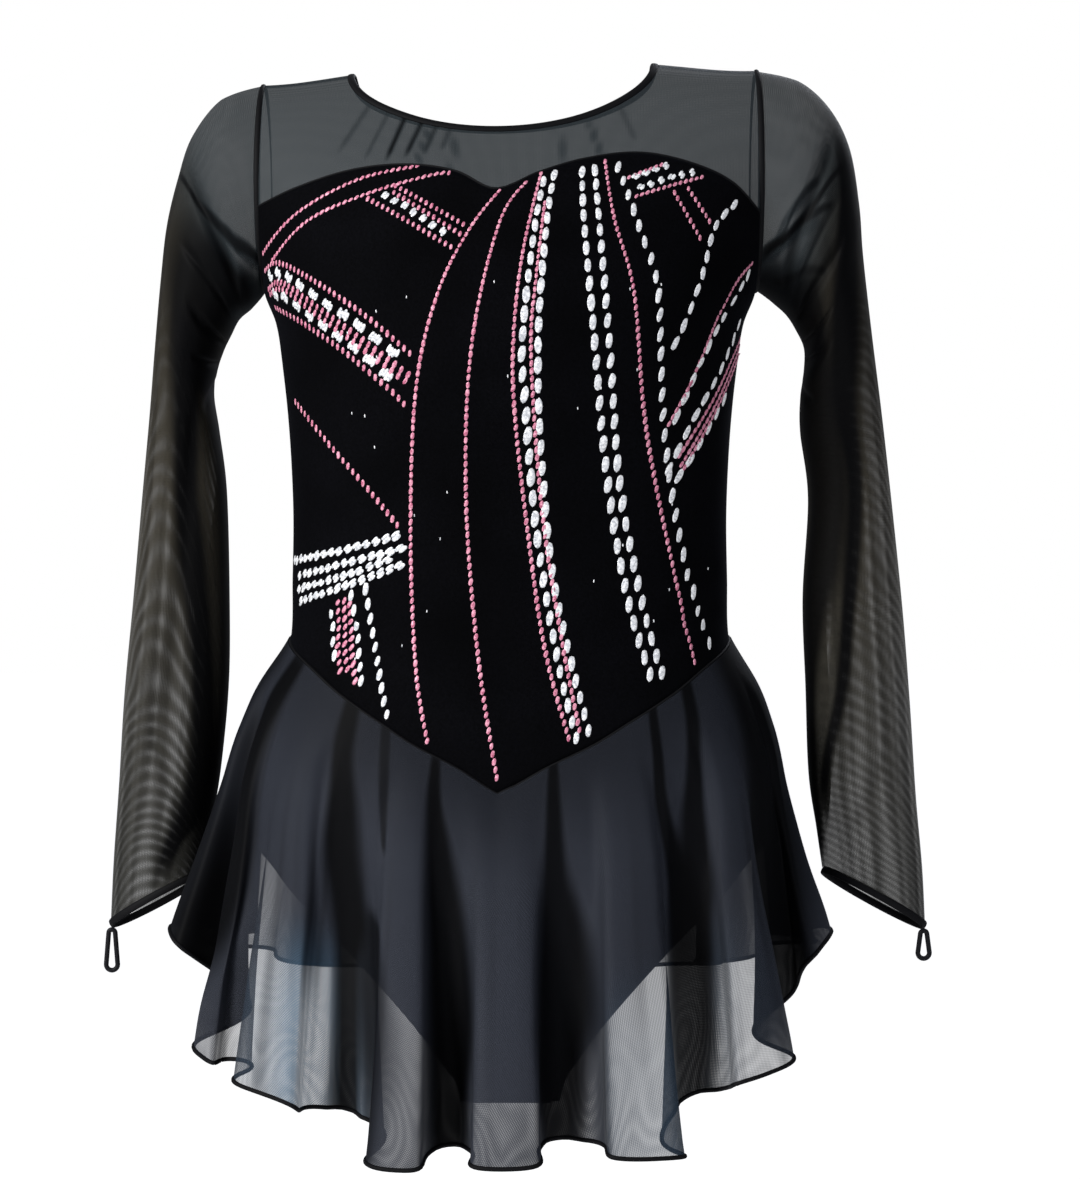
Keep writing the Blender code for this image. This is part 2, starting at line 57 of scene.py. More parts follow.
# %% Camera
CAMERA_DISTANCE = 1700
CAMERA_X = 18
CAMERA_Z = -313
PIXEL = 0.6
FRAME_HEIGHT = 1179
SENSOR = 36

camera_data = bpy.data.cameras.new("camera")
camera = bpy.data.objects.new("camera", camera_data)
bpy.context.scene.collection.objects.link(camera)
camera.location = Vector((CAMERA_X, -CAMERA_DISTANCE, CAMERA_Z)) * MM
camera.rotation_euler = (math.pi / 2, 0, 0)
camera_data.sensor_width = SENSOR
camera_data.sensor_height = SENSOR
camera_data.sensor_fit = "VERTICAL"
camera_data.lens = SENSOR * CAMERA_DISTANCE / (FRAME_HEIGHT * PIXEL)
bpy.context.scene.camera = camera
print("lens", round(camera_data.lens, 1), "mm")

# %% [markdown]
# A shader works in linear light, while a colour picked by eye is an sRGB hex value, so one function turns
# one into the other. Others add a node, whose inputs are numbers, colours or the sockets that feed them,
# mix two colours, bump a surface and begin a material. The last makes a mesh of a finished form.

# %% Colour and node helpers


def srgb(code):
    """An sRGB hex colour as linear red, green, blue and alpha."""
    parts = [int(code[i : i + 2], 16) / 255 for i in (1, 3, 5)]
    return (*(c / 12.92 if c <= 0.04045 else ((c + 0.055) / 1.055) ** 2.4 for c in parts), 1)


def fill(tree, node, inputs):
    """Sets a node's inputs, or links them where the value is another node's socket."""
    for key, value in inputs.items():
        if isinstance(value, bpy.types.NodeSocket):
            tree.links.new(value, node.inputs[key])
        else:
            node.inputs[key].default_value = value
    return node


def add(tree, kind, inputs=None, **settings):
    """Adds one node with its settings and inputs."""
    node = tree.nodes.new(kind)
    for name, value in settings.items():
        setattr(node, name, value)
    return fill(tree, node, inputs or {})


def mixed(tree, share, first, second):
    return add(tree, "ShaderNodeMix", {0: share, 6: first, 7: second}, data_type="RGBA").outputs[2]


def bumped(tree, height, strength, distance, **settings):
    inputs = {"Height": height, "Strength": strength, "Distance": distance * MM}
    return add(tree, "ShaderNodeBump", inputs, **settings).outputs[0]


def new_material(name):
    """A material, its node tree and its main shader."""
    made = bpy.data.materials.new(name)
    made.use_nodes = True
    return made, made.node_tree, made.node_tree.nodes["Principled BSDF"]


def as_mesh(form, name):
    mesh = bpy.data.meshes.new(name)
    form.to_mesh(mesh)
    form.free()
    return mesh


# %% [markdown]
# The dress hangs before a plain white ground. The world is white to the camera, so the net is seen
# against white, but it lights the dress only softly. A large soft lamp from the viewer's upper left
# models the folds, a weaker one fills from the right, and one behind gives the edges a little light.
# The pale floor lies where the wearer would stand. It belongs to the stage and not to the dress.

# %% Light, floor and white ground
WORLD_LIGHT = 0.22
WORLD_SEEN = 1.0
FLOOR_Z = -1250
FLOOR_HALF = 30
FLOOR_GLOW = 0.85

bpy.context.scene.view_settings.view_transform = "Standard"

world = bpy.data.worlds.new("studio")
bpy.context.scene.world = world
world.use_nodes = True
sky = world.node_tree
sky.nodes.clear()
rays = add(sky, "ShaderNodeLightPath")
soft = add(sky, "ShaderNodeBackground", {"Color": srgb("#F2F5FF"), "Strength": WORLD_LIGHT})
seen = add(sky, "ShaderNodeBackground", {"Color": (1, 1, 1, 1), "Strength": WORLD_SEEN})
both = add(sky, "ShaderNodeMixShader", {0: rays.outputs["Is Camera Ray"]})
sky.links.new(soft.outputs[0], both.inputs[1])
sky.links.new(seen.outputs[0], both.inputs[2])
add(sky, "ShaderNodeOutputWorld", {"Surface": both.outputs[0]})

# Name, place in millimetres, watts, side of the square lamp in metres, colour
LAMPS = (
    ("key_lamp", (-1900, -1700, 700), 74, 0.8, "#FFFFFF"),
    ("fill_lamp", (1300, -1900, -100), 9, 1.4, "#F0F4FF"),
    ("edge_lamp", (700, 1700, 900), 16, 1.2, "#F0F4FF"),
)
AIM = Vector((0, 0, -300)) * MM
for name, place, watts, side, tone in LAMPS:
    lamp = bpy.data.lights.new(name, "AREA")
    lamp.energy = watts
    lamp.size = side
    lamp.color = srgb(tone)[:3]
    holder = bpy.data.objects.new(name, lamp)
    bpy.context.scene.collection.objects.link(holder)
    holder.location = Vector(place) * MM
    holder.rotation_euler = (AIM - holder.location).to_track_quat("-Z", "Y").to_euler()

floor_form = bmesh.new()
bmesh.ops.create_grid(floor_form, x_segments=1, y_segments=1, size=FLOOR_HALF)
bmesh.ops.translate(floor_form, verts=floor_form.verts[:], vec=(0, 0, FLOOR_Z * MM))
floor_mesh = as_mesh(floor_form, "floor")
floor = bpy.data.objects.new("floor", floor_mesh)
bpy.context.scene.collection.objects.link(floor)
paper, paper_tree, paper_shader = new_material("matt_white_paper")
camera_ray = add(paper_tree, "ShaderNodeLightPath").outputs["Is Camera Ray"]
paper_glow = add(paper_tree, "ShaderNodeMath", {0: camera_ray, 1: FLOOR_GLOW}, operation="MULTIPLY")
paper_inputs = {
    "Base Color": srgb("#E8E8E8"),
    "Roughness": 0.9,
    "Emission Color": (1, 1, 1, 1),
    "Emission Strength": paper_glow.outputs[0],
}
fill(paper_tree, paper_shader, paper_inputs)
floor_mesh.materials.append(paper)
print("lamps", len(LAMPS))

# %% [markdown]
# The body cloth is stretch velvet: a knitted ground with a short dense pile, cut and brushed. The pile
# swallows light that falls straight on it and gives a faint cool sheen where it is seen from the side,
# so it is almost black with a weak sheen and hardly any gloss. Two noises do the rest: a fine one for the
# pile, drawn at 1.5 mm because the real 0.2 mm would not show, and a wide one for where the pile
# has been brushed another way.

# %% Stretch velvet
PILE = 1.5
BRUSHED = 45


def black_velvet(name, dark, light):
    made, tree, shader = new_material(name)
    place = add(tree, "ShaderNodeTexCoord").outputs["Object"]
    pile = add(tree, "ShaderNodeTexNoise", {"Vector": place, "Scale": 1 / (PILE * MM), "Detail": 2})
    brushed = add(
        tree, "ShaderNodeTexNoise", {"Vector": place, "Scale": 1 / (BRUSHED * MM), "Detail": 1}
    )
    share = add(
        tree,
        "ShaderNodeMath",
        {0: pile.outputs["Fac"], 1: brushed.outputs["Fac"]},
        operation="MULTIPLY",
    )
    share = add(tree, "ShaderNodeMapRange", {"Value": share.outputs[0], "From Min": 0.1, "From Max": 0.45})
    inputs = {
        "Base Color": mixed(tree, share.outputs[0], srgb(dark), srgb(light)),
        "Normal": bumped(tree, pile.outputs["Fac"], 0.3, 0.3),
        "Roughness": 0.85,
        "Specular IOR Level": 0.03,
        "Sheen Weight": 0.02,
        "Sheen Roughness": 0.45,
        "Sheen Tint": srgb("#8F9AB8"),
    }
    fill(tree, shader, inputs)
    return made


velvet = black_velvet("black_stretch_velvet", "#030304", "#08080B")

# %% [markdown]
# The sheer cloth is stretch net, warp-knitted from fine nylon: thousands of tiny holes between black
# threads. It isn't glass, so it isn't made with transmission. Its alpha is what the threads cover. The
# columns of stitches (wales) and the rows (courses) are sine waves on the piece's own "cut" map, which
# holds the flat cut's millimetres, so the net follows the cloth. A real pitch of about 0.7 mm is
# assumed, and it is drawn at 0.9 mm so that it shows.
# Each piece carries five values for it, worked out from its form. "closing" tells how much tighter the
# net looks where it is folded, drawn together or turned edge on. "shade" is painted shade: it mixes the
# thread's colour towards near-black UNLIT where the net lies deep in a fold and gets no light. Where two
# layers lie close, their threads make watery rings. They come from threads too fine to draw, so the rings
# are a wave of their own: "ring_turns" counts them along the cloth and "ring_depth" is their strength.
# "light_through_tone" paints the tone of light that falls through the net into the thread's colour: it
# goes from the thread's own tone to that painted light: warm on the forearms, cool blue below the brief.

# %% Sheer stretch net
NET_PITCH = 0.9
COURSE_SHARE = 0.7
NET_LAYERS = "closing", "shade", "ring_turns", "ring_depth", "light_through_tone"
UNLIT = "#020203"


def sheer_net(name, open_share, knit, thread, lit_through):
    made, tree, shader = new_material(name)

    def sum_of(operation, first, second, third=0):
        node = add(tree, "ShaderNodeMath", {0: first, 1: second, 2: third}, operation=operation)
        return node.outputs[0]

    values = {}
    for layer in NET_LAYERS:
        values[layer] = add(tree, "ShaderNodeAttribute", attribute_name=layer).outputs["Fac"]
    cut = add(tree, "ShaderNodeUVMap", uv_map="cut")
    axes = add(tree, "ShaderNodeSeparateXYZ", {"Vector": cut.outputs["UV"]})
    holes = 1
    for axis, strength in (("X", knit), ("Y", knit * COURSE_SHARE)):
        phase = sum_of("MULTIPLY", axes.outputs[axis], 2 * math.pi / (NET_PITCH * MM))
        wave = sum_of("MULTIPLY_ADD", sum_of("SINE", phase, 0), strength, 1)
        holes = sum_of("MULTIPLY", wave, holes)
    ring = sum_of("SINE", sum_of("MULTIPLY", values["ring_turns"], 2 * math.pi), 0)
    tight = sum_of("MULTIPLY", values["closing"], sum_of("MULTIPLY_ADD", ring, values["ring_depth"], 1))
    seen_through = sum_of("POWER", sum_of("MULTIPLY", holes, open_share), tight)
    # Base colour holds painted light (light_through_tone) and painted shade (shade, towards UNLIT).
    tone = mixed(tree, values["light_through_tone"], srgb(thread), srgb(lit_through))
    inputs = {
        "Alpha": sum_of("SUBTRACT", 1, seen_through),
        "Base Color": mixed(tree, values["shade"], tone, srgb(UNLIT)),
        "Normal": bumped(tree, holes, 0.15, 0.15, invert=True),
        "Roughness": 0.6,
        "Specular IOR Level": 0.06,
        "Sheen Weight": 0.015,
        "Sheen Roughness": 0.5,
        "Sheen Tint": srgb("#C4CCDA"),
    }
    fill(tree, shader, inputs)
    return made


# The last colour of each net is the painted tone of light that falls through it.
yoke_net = sheer_net("black_yoke_net", 0.2, 0.3, "#31373A", "#31373A")
sleeve_net = sheer_net("black_sleeve_net", 0.27, 0.35, "#2D3336", "#39352C")
skirt_net = sheer_net("black_skirt_net", 0.32, 0.3, "#34373F", "#48667C")

# %% [markdown]
# The bindings are narrow strips of a smooth black stretch cloth, folded over the raw edge and sewn flat.
# They are woven tighter than the net and have a faint satin gloss. A fine noise stands for
# the ribs, drawn at 1 mm.

# %% Binding and elastic
RIB = 1


def ribbed(name, dark, light, roughness):
    made, tree, shader = new_material(name)
    place = add(tree, "ShaderNodeTexCoord").outputs["Object"]
    rib = add(tree, "ShaderNodeTexNoise", {"Vector": place, "Scale": 1 / (RIB * MM), "Detail": 1})
    inputs = {
        "Base Color": mixed(tree, rib.outputs["Fac"], srgb(dark), srgb(light)),
        "Normal": bumped(tree, rib.outputs["Fac"], 0.4, 0.2),
        "Roughness": roughness,
        "Specular IOR Level": 0.15,
    }
    fill(tree, shader, inputs)
    return made


binding = ribbed("black_stretch_binding", "#050506", "#0E0E11", 0.7)
elastic = ribbed("black_braided_elastic", "#0C0C0E", "#1E1E22", 0.5)

# %% [markdown]
# The dashes are glitter print: flakes of aluminium foil set in clear glue and pressed on the velvet.
# Each flake mirrors another way, so a dash sparkles and reads almost white, or pink where the flakes are
# dyed. A Voronoi pattern gives each patch of flakes, about 1.1 mm, its own tone and slight tilt. A weak
# glow stands for the flakes that mirror a lamp, which are too small to catch one here.

# %% Glitter print
FLAKE = 1.1


def glitter(name, dark, light, metallic, roughness, glow):
    made, tree, shader = new_material(name)
    place = add(tree, "ShaderNodeTexCoord").outputs["Object"]
    flakes = add(tree, "ShaderNodeTexVoronoi", {"Vector": place, "Scale": 1 / (FLAKE * MM)})
    tone = add(tree, "ShaderNodeSeparateXYZ", {"Vector": flakes.outputs["Color"]})
    inputs = {
        "Base Color": mixed(tree, tone.outputs["X"], srgb(dark), srgb(light)),
        "Normal": bumped(tree, tone.outputs["Y"], 0.35, 0.3),
        "Metallic": metallic,
        "Roughness": roughness,
        "Emission Color": srgb(light),
        "Emission Strength": glow,
    }
    fill(tree, shader, inputs)
    return made


silver_glitter = glitter("silver_glitter_print", "#9CA0A8", "#FFFFFF", 0.1, 0.35, 0.2)
pink_glitter = glitter("pink_glitter_print", "#B85476", "#F9AFC4", 0.05, 0.4, 0.06)
print("materials", len(bpy.data.materials))

# %% [markdown]
# The body of the dress follows the torso that the CAD model is built on. Its sections stand in a short
# table: at each height the half width and how deep it is in front of the side seams and behind them. One
# function reads a smooth curve through a column of such a table, and the others give the depth, the
# width, a point and the outward direction at any place. The names and values are those of the CAD source.

# %% Torso sections
GAP = 0.3
FRONT, BACK = -1, 1
LEFT, RIGHT = -1, 1

# Height, half width, depth in front of the side line and behind it
BODY = (
    (0, 147, 64, 60), (-40, 147, 67, 67), (-70, 147, 82, 79), (-100, 147, 97, 88), (-134, 147, 108, 94),
    (-155, 139.5, 110, 95), (-182, 135.5, 106, 93), (-210, 132.5, 99, 89), (-240, 130.5, 92, 84),
    (-271, 129.5, 86, 80), (-306, 130, 84, 80), (-342, 131, 86, 84), (-380, 140, 90, 92),
    (-420, 151, 93, 100), (-460, 158, 94, 106), (-500, 162, 93, 109), (-540, 163, 91, 108),
    (-620, 158, 86, 100),
)
SECTION_POWER = 2.3
RIDGE_ROUND = 60
CROTCH_Z = -620
CROTCH_ROUND = 110
ARMHOLE_X = 147
ARMHOLE_HEIGHT = 134
ARMHOLE_DEPTH = 46
ARMPIT = -ARMHOLE_HEIGHT
SHOULDER_DROP = 7
SHOULDER_DROP_FROM = 60
SHOULDER_LEAN = 0.03

# Leg line of the brief: height, half width in front, half width behind
LEG = (
    (-457, 158, 158), (-470, 141, 151), (-488, 125, 142), (-522, 90, 116), (-560, 57, 81),
    (-590, 37, 52), (-608, 27, 37), (-620, 24, 30),
)


def along(table, at, column):
    """A smooth curve through one column of a table, whose first column rises or falls steadily."""
    rows = table if table[0][0] < table[-1][0] else table[::-1]
    last = len(rows) - 1
    i = next((k for k in range(last) if at <= rows[k + 1][0]), last - 1)

    def slope(k):
        low, high = rows[max(k - 1, 0)], rows[min(k + 1, last)]
        return (high[column] - low[column]) / (high[0] - low[0])

    start, end = rows[i], rows[i + 1]
    step = end[0] - start[0]
    t = min(max((at - start[0]) / step, 0), 1)
    a, b = start[column], end[column]
    rise_a, rise_b = slope(i) * step, slope(i + 1) * step
    return (
        a * (1 + 2 * t) * (1 - t) ** 2
        + b * t * t * (3 - 2 * t)
        + rise_a * t * (1 - t) ** 2
        - rise_b * t * t * (1 - t)
    )


def smooth_step(t):
    t = min(max(t, 0), 1)
    return t * t * (3 - 2 * t)


def half_round(t):
    """Height of a quarter circle that starts at 0 and is full at 1."""
    t = min(max(t, 0), 1)
    return math.sqrt(1 - (1 - t) ** 2)


def torso_depth(z, side):
    full = along(BODY, z, 2 if side == FRONT else 3)
    return full * half_round(-z / RIDGE_ROUND) * half_round((z - CROTCH_Z) / CROTCH_ROUND)


def armhole_depth(z):
    middle = ARMHOLE_HEIGHT / 2
    return ARMHOLE_DEPTH * math.sqrt(max(1 - ((z + middle) / middle) ** 2, 0))


def torso_half_width(z, side):
    """Above the armpit it is wide enough for the panel to meet the armhole's edge."""
    if z <= ARMPIT:
        return along(BODY, z, 1)
    z = min(z, -SAME_PLACE)
    share = armhole_depth(z) / torso_depth(z, side)
    return ARMHOLE_X / (1 - share**SECTION_POWER) ** (1 / SECTION_POWER)


def panel_half_width(z, side):
    if z > ARMPIT:
        return ARMHOLE_X
    if z < LEG[0][0]:
        return along(LEG, z, 1 if side == FRONT else 2)
    return torso_half_width(z, side)


def shoulder_shift(x, z):
    """The shoulders fall away from the neck, and the viewer's right one is a little higher."""
    fade = smooth_step(1 + z / ARMHOLE_HEIGHT)
    out = (abs(x) - SHOULDER_DROP_FROM) / (ARMHOLE_X - SHOULDER_DROP_FROM)
    return (SHOULDER_LEAN * x - SHOULDER_DROP * smooth_step(out)) * fade


def torso_at(x, z, side):
    reach = min(abs(x) / torso_half_width(z, side), 1)
    y = torso_depth(z, side) * (1 - reach**SECTION_POWER) ** (1 / SECTION_POWER)
    return Vector((x, side * (y + GAP / 2), z + shoulder_shift(x, z)))


def torso_normal(x, z, side):
    across = torso_at(x + 1, z, side) - torso_at(x - 1, z, side)
    down = torso_at(x, z - 1, side) - torso_at(x, z, side)
    return (across.cross(down) * side).normalized()


def column_share(u):
    """Places the columns evenly round the section, so that they come closer in x towards the sides."""
    return math.copysign(abs(math.sin(u * math.pi / 2)) ** (2 / SECTION_POWER), u)


print("bust", round(2 * along(BODY, -155, 1)), "waist", round(2 * along(BODY, -271, 1)), "mm wide")

# %% [markdown]
# The seams divide the torso: the round neck, the sweetheart edge of the velvet, the waist seam that runs
# to a V in front and dips softly behind. The curves are short tables too. Behind, where the photograph
# can't see, the velvet starts with a plain low curve and the net closes the rest.

# %% Neck, sweetheart and waist lines
PANEL_COLUMNS = 24
NECK_SPAN = 10 / PANEL_COLUMNS
NECK_LEFT = -96
NECK_RIGHT = 88
NECK_FRONT_DROP = 49
NECK_BACK_DROP = 30
BACK_TOP_SIDE = -100
BACK_TOP_CENTRE = -140
WAIST_SIDE = -341
WAIST_BACK_DROP = 35
WAIST_POINT = -0.016

# Place across as a share of the half width, height
SWEETHEART = (
    (-1.0, -86), (-0.83, -77), (-0.62, -70), (-0.38, -69), (-0.2, -74), (-0.05, -85), (0.12, -75),
    (0.3, -67), (0.52, -63), (0.72, -67), (0.88, -76), (1.0, -92),
)

# Share of the way from the V's point to the side seam, height
WAIST_FRONT = (
    (0.0, -429), (0.08, -415), (0.2, -401), (0.3, -389), (0.45, -374), (0.62, -359), (0.8, -349),
    (1.0, -341),
)


def neck_edge(u, side):
    """Place of the yoke's top edge: the neck line, or the shoulder seam beside it."""
    if abs(u) >= NECK_SPAN:
        corner = NECK_RIGHT if u > 0 else NECK_LEFT
        first = column_share(NECK_SPAN)
        out = (abs(column_share(u)) - first) / (1 - first)
        return corner + (math.copysign(ARMHOLE_X, u) - corner) * out, 0
    drop = NECK_FRONT_DROP if side == FRONT else NECK_BACK_DROP
    turn = u / NECK_SPAN * math.pi / 2
    middle, half = (NECK_LEFT + NECK_RIGHT) / 2, (NECK_RIGHT - NECK_LEFT) / 2
    return middle + half * math.sin(turn), -drop * math.cos(turn)


def yoke_bottom(share, side):
    if side == FRONT:
        return along(SWEETHEART, share, 1)
    return BACK_TOP_SIDE + (BACK_TOP_CENTRE - BACK_TOP_SIDE) * (1 - share * share)


def waist_edge(u, side):
    if side == BACK:
        return WAIST_SIDE - WAIST_BACK_DROP * (1 - u * u)
    off = u - WAIST_POINT
    to_side = 1 - WAIST_POINT if off > 0 else 1 + WAIST_POINT
    return along(WAIST_FRONT, abs(off) / to_side, 1)


def drawn_to_point(u, side):
    """Draws the front's middle columns to the point of the V, so that it has a corner there."""
    return u + WAIST_POINT * (1 - abs(u)) if side == FRONT else u


print("V point", waist_edge(WAIST_POINT, FRONT), "side seam", WAIST_SIDE)

# %% [markdown]
# Every cloth piece is one bmesh grid that is laid on its form: the operator makes the faces, and each
# vertex is then moved to its place. The grid also gets the cloth's flat cut as its UV map, in metres, so
# that the knit keeps its real size, and the values of the net. The opaque velvet gets a thin
# wall with Solidify, inwards. The net stays one layer, because each wall of a shell would hide
# what lies behind it a second time. A crease is a soft trough along a short hand-placed line.

# %% Cloth on a form
VELVET_WALL = 0.8
BAND_FADE = 0.08
BAND_EDGE = 0.5


def trough(creases, place, reach):
    """Depth of the creases at a place. Each is two ends, a half width, a depth, in the place's units."""
    deep = 0
    for start, end, half, depth in creases:
        start, end = Vector(start), Vector(end)
        run = end - start
        t = min(max((place - start).dot(run) / run.length_squared, 0), 1)
        away = (place - start - run * t).length / half
        if away < reach:
            deep += depth * math.exp(-away * away) * smooth_step(4 * t) * smooth_step(4 - 4 * t)
    return deep


def show(name, mesh, material):
    thing = bpy.data.objects.new(name, mesh)
    bpy.context.scene.collection.objects.link(thing)
    mesh.materials.append(material)
    mesh.shade_smooth()
    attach(thing, "root")
    return thing


def cloth(name, grid, cut, finish, net=None, tube=False, flip=False, wall=0):
    """One piece of cloth. grid[row][column] holds its places in mm, cut the same for the flat cut.

    net[row][column] holds the values of the net in the order of NET_LAYERS.
    """
    material, slot = finish
    rows, columns = len(grid) - 1, len(grid[0]) - 1
    form = bmesh.new()
    bmesh.ops.create_grid(form, x_segments=columns, y_segments=rows, size=0.5)
    flat = form.loops.layers.uv.new("cut")
    layers = [form.verts.layers.float.new(layer) for layer in NET_LAYERS] if net else []
    spot = {}
    for vert in form.verts:
        spot[vert] = round((0.5 - vert.co.y) * rows), round((vert.co.x + 0.5) * columns)
    for face in form.faces:
        for loop in face.loops:
            row, column = spot[loop.vert]
            loop[flat].uv = cut[row][column][0] * MM, cut[row][column][1] * MM
    for vert, (row, column) in spot.items():
        vert.co = grid[row][column] * MM
        for i, layer in enumerate(layers):
            vert[layer] = net[row][column][i]
    if tube:
        bmesh.ops.remove_doubles(form, verts=form.verts[:], dist=SAME_PLACE * MM)
    if flip:
        bmesh.ops.reverse_faces(form, faces=form.faces[:])
    mesh = as_mesh(form, name)
    area = sum(face.area for face in mesh.polygons)
    thing = show(name, mesh, material)
    if wall:
        shell = thing.modifiers.new("wall", "SOLIDIFY")
        shell.thickness = wall * MM
        shell.offset = -1
        shell.use_even_offset = True
    print(name, "faces", len(mesh.polygons), "area", round(area, 4), "m2")
    return thing


def wrapped(angle):
    return (angle + 180) % 360 - 180


def shadows_at(bands, down):
    """The dark bands that cross one height, as strength, middle and half width.

    A band is a strength and rows of how far down, middle and half width. It fades at both ends.
    """
    crossing = []
    for strength, *rows in bands:
        first, last = rows[0][0], rows[-1][0]
        if first < down < last:
            ends = min(down - first, last - down) / (last - first)
            strength *= smooth_step(ends / BAND_FADE)
            crossing.append((strength, along(rows, down, 1), along(rows, down, 2)))
    return crossing


def shade_in(crossing, across):
    """How deep in shade a place lies, from 0 to 1, with soft edges."""
    lit = 1
    for strength, middle, half in crossing:
        off = abs(wrapped(across - middle)) / half
        lit *= 1 - strength * (1 - smooth_step(off - BAND_EDGE))
    return 1 - lit


def shares(count):
    return [i / count for i in range(count + 1)]


VELVET = velvet, "stretch_velvet"
YOKE = yoke_net, "sheer_mesh"
SLEEVE_CLOTH = sleeve_net, "sheer_mesh"
SKIRT = skirt_net, "sheer_mesh"

# %% [markdown]
# Bodice and brief are cut from the velvet and pulled smooth over the body, so their creases are few and
# shallow: small drags from the armpits towards the bust, and short ones at the waist where the cloth is
# squeezed. The back, which the photograph doesn't show, gets the soft cross drags such a tight
# back has above the waist. All lie in tables of height and width in millimetres.

# %% Velvet creases
# Two ends as x and height, half width, depth
VELVET_CREASES = {
    FRONT: (
        ((-136, -150), (-78, -186), 9, 1.3), ((-134, -168), (-92, -196), 7, 0.9),
        ((134, -150), (82, -184), 9, 1.3), ((131, -170), (95, -192), 7, 0.9),
        ((-128, -322), (-78, -342), 7, 1.4), ((-127, -300), (-94, -309), 6, 1.0),
        ((127, -324), (84, -340), 7, 1.4), ((126, -301), (92, -307), 6, 1.0),
        ((-140, -420), (-70, -478), 9, 1.6), ((138, -424), (64, -486), 9, 1.6),
        ((-30, -556), (-8, -604), 6, 1.2), ((28, -552), (12, -602), 6, 1.2),
    ),
    BACK: (
        ((-84, -252), (70, -266), 9, 1.7), ((-62, -286), (92, -280), 8, 1.5),
        ((-96, -226), (36, -220), 9, 1.2), ((-120, -310), (-40, -322), 8, 1.5),
        ((118, -306), (48, -320), 8, 1.5), ((-136, -150), (-80, -196), 9, 1.3),
        ((134, -152), (86, -198), 9, 1.3), ((-132, -430), (-58, -500), 10, 1.8),
        ((130, -436), (60, -508), 10, 1.8), ((-26, -540), (-6, -600), 7, 1.4),
        ((30, -536), (10, -598), 7, 1.4),
    ),
}
CREASE_REACH = 3


def velvet_at(x, z, side):
    """A point of the velvet, pressed in along its creases."""
    dent = trough(VELVET_CREASES[side], Vector((x, z)), CREASE_REACH)
    place = torso_at(x, z, side)
    return place - torso_normal(x, z, side) * dent if dent > SAME_PLACE else place


def velvet_panel(name, side, top, bottom, rows, columns, spacing=lambda t: t):
    grid, cut = [], []
    for down in shares(rows):
        line, flat = [], []
        for across in shares(columns):
            u = drawn_to_point((2 * across - 1) * -side, side)
            high, low = top(u), bottom(u)
            z = high + (low - high) * spacing(down)
            x = panel_half_width(z, side) * column_share(u)
            line.append(velvet_at(x, z, side))
            flat.append((x, z))
        grid.append(line)
        cut.append(flat)
    return cloth(name, grid, cut, VELVET, wall=VELVET_WALL)


# %% Bodice and brief
SEAM_HALF = 0.15
BODICE_FACES = 120, 110
BRIEF_FACES = 100, 84
BRIEF_ROW_POWER = 1.3


def closer_at_bottom(t):
    return 1 - (1 - t) ** BRIEF_ROW_POWER


velvet_pieces = {}
for side, label in ((FRONT, "front"), (BACK, "back")):
    velvet_pieces["bodice", label] = velvet_panel(
        f"bodice_{label}_velvet",
        side,
        lambda u, side=side: yoke_bottom(column_share(u), side) - SEAM_HALF,
        lambda u, side=side: waist_edge(u, side) + SEAM_HALF,
        BODICE_FACES[1],
        BODICE_FACES[0],
    )
    velvet_pieces["brief", label] = velvet_panel(
        f"brief_{label}_velvet",
        side,
        lambda u, side=side: waist_edge(u, side) - SEAM_HALF,
        lambda u: CROTCH_Z,
        BRIEF_FACES[1],
        BRIEF_FACES[0],
        closer_at_bottom,
    )
for (part, label), piece in velvet_pieces.items():
    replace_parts(piece, f"{part}_{label}")

# %% [markdown]
# The yoke is the net over the shoulders and the upper chest. It is stretched between the bound neck
# and the velvet, and on the viewer's left the binding has drawn it in, so that fine gathers run down from
# the neck. They press the net in a little and make it denser there, and painted shade darkens its colour.

# %% Yoke
YOKE_FACES = {FRONT: (380, 100), BACK: (150, 64)}
YOKE_ROW_POWER = 1.7
YOKE_CREASES = {
    FRONT: (
        ((-66, -26), (-84, -67), 1.4, 0.3), ((-57, -30), (-71, -68), 1.3, 1.1),
        ((-47, -34), (-60, -66), 1.3, 1.0), ((-39, -37), (-49, -64), 1.4, 0.6),
        ((-31, -39), (-39, -62), 1.5, 0.4), ((-75, -18), (-100, -60), 1.8, 0.3),
        ((62, -28), (74, -58), 1.8, 0.2),
    ),
    BACK: (
        ((-48, -20), (-66, -64), 1.4, 0.6), ((-32, -22), (-42, -72), 1.4, 0.5),
        ((28, -22), (38, -68), 1.4, 0.5), ((46, -20), (64, -62), 1.4, 0.6),
    ),
}
GATHER_CLOSING = 2
GATHER_SHADE = 0.9
YOKE_CLOSING = 1.0


def yoke_piece(side, label):
    columns, rows = YOKE_FACES[side]
    grid, cut, nets = [], [], []
    for part_down in shares(rows):
        down = part_down**YOKE_ROW_POWER
        line, flat, net = [], [], []
        for across in shares(columns):
            u = (2 * across - 1) * -side
            top_x, top_z = neck_edge(u, side)
            share = column_share(drawn_to_point(u, side))
            low_x = ARMHOLE_X * share
            low_z = yoke_bottom(share, side) + SEAM_HALF
            x, z = top_x + (low_x - top_x) * down, top_z + (low_z - top_z) * down
            dent = trough(YOKE_CREASES[side], Vector((x, z)), CREASE_REACH)
            line.append(torso_at(x, z, side) - Vector((0, side * dent, 0)))
            flat.append((x, z))
            # In the gathers the net closes up, and painted shade darkens the thread's colour.
            net.append((YOKE_CLOSING + GATHER_CLOSING * dent, min(GATHER_SHADE * dent, 1), 0, 0, 0))
        grid.append(line)
        cut.append(flat)
        nets.append(net)
    return cloth(f"yoke_{label}_net", grid, cut, YOKE, nets)


for side, label in ((FRONT, "front"), (BACK, "back")):
    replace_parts(yoke_piece(side, label), f"yoke_{label}")

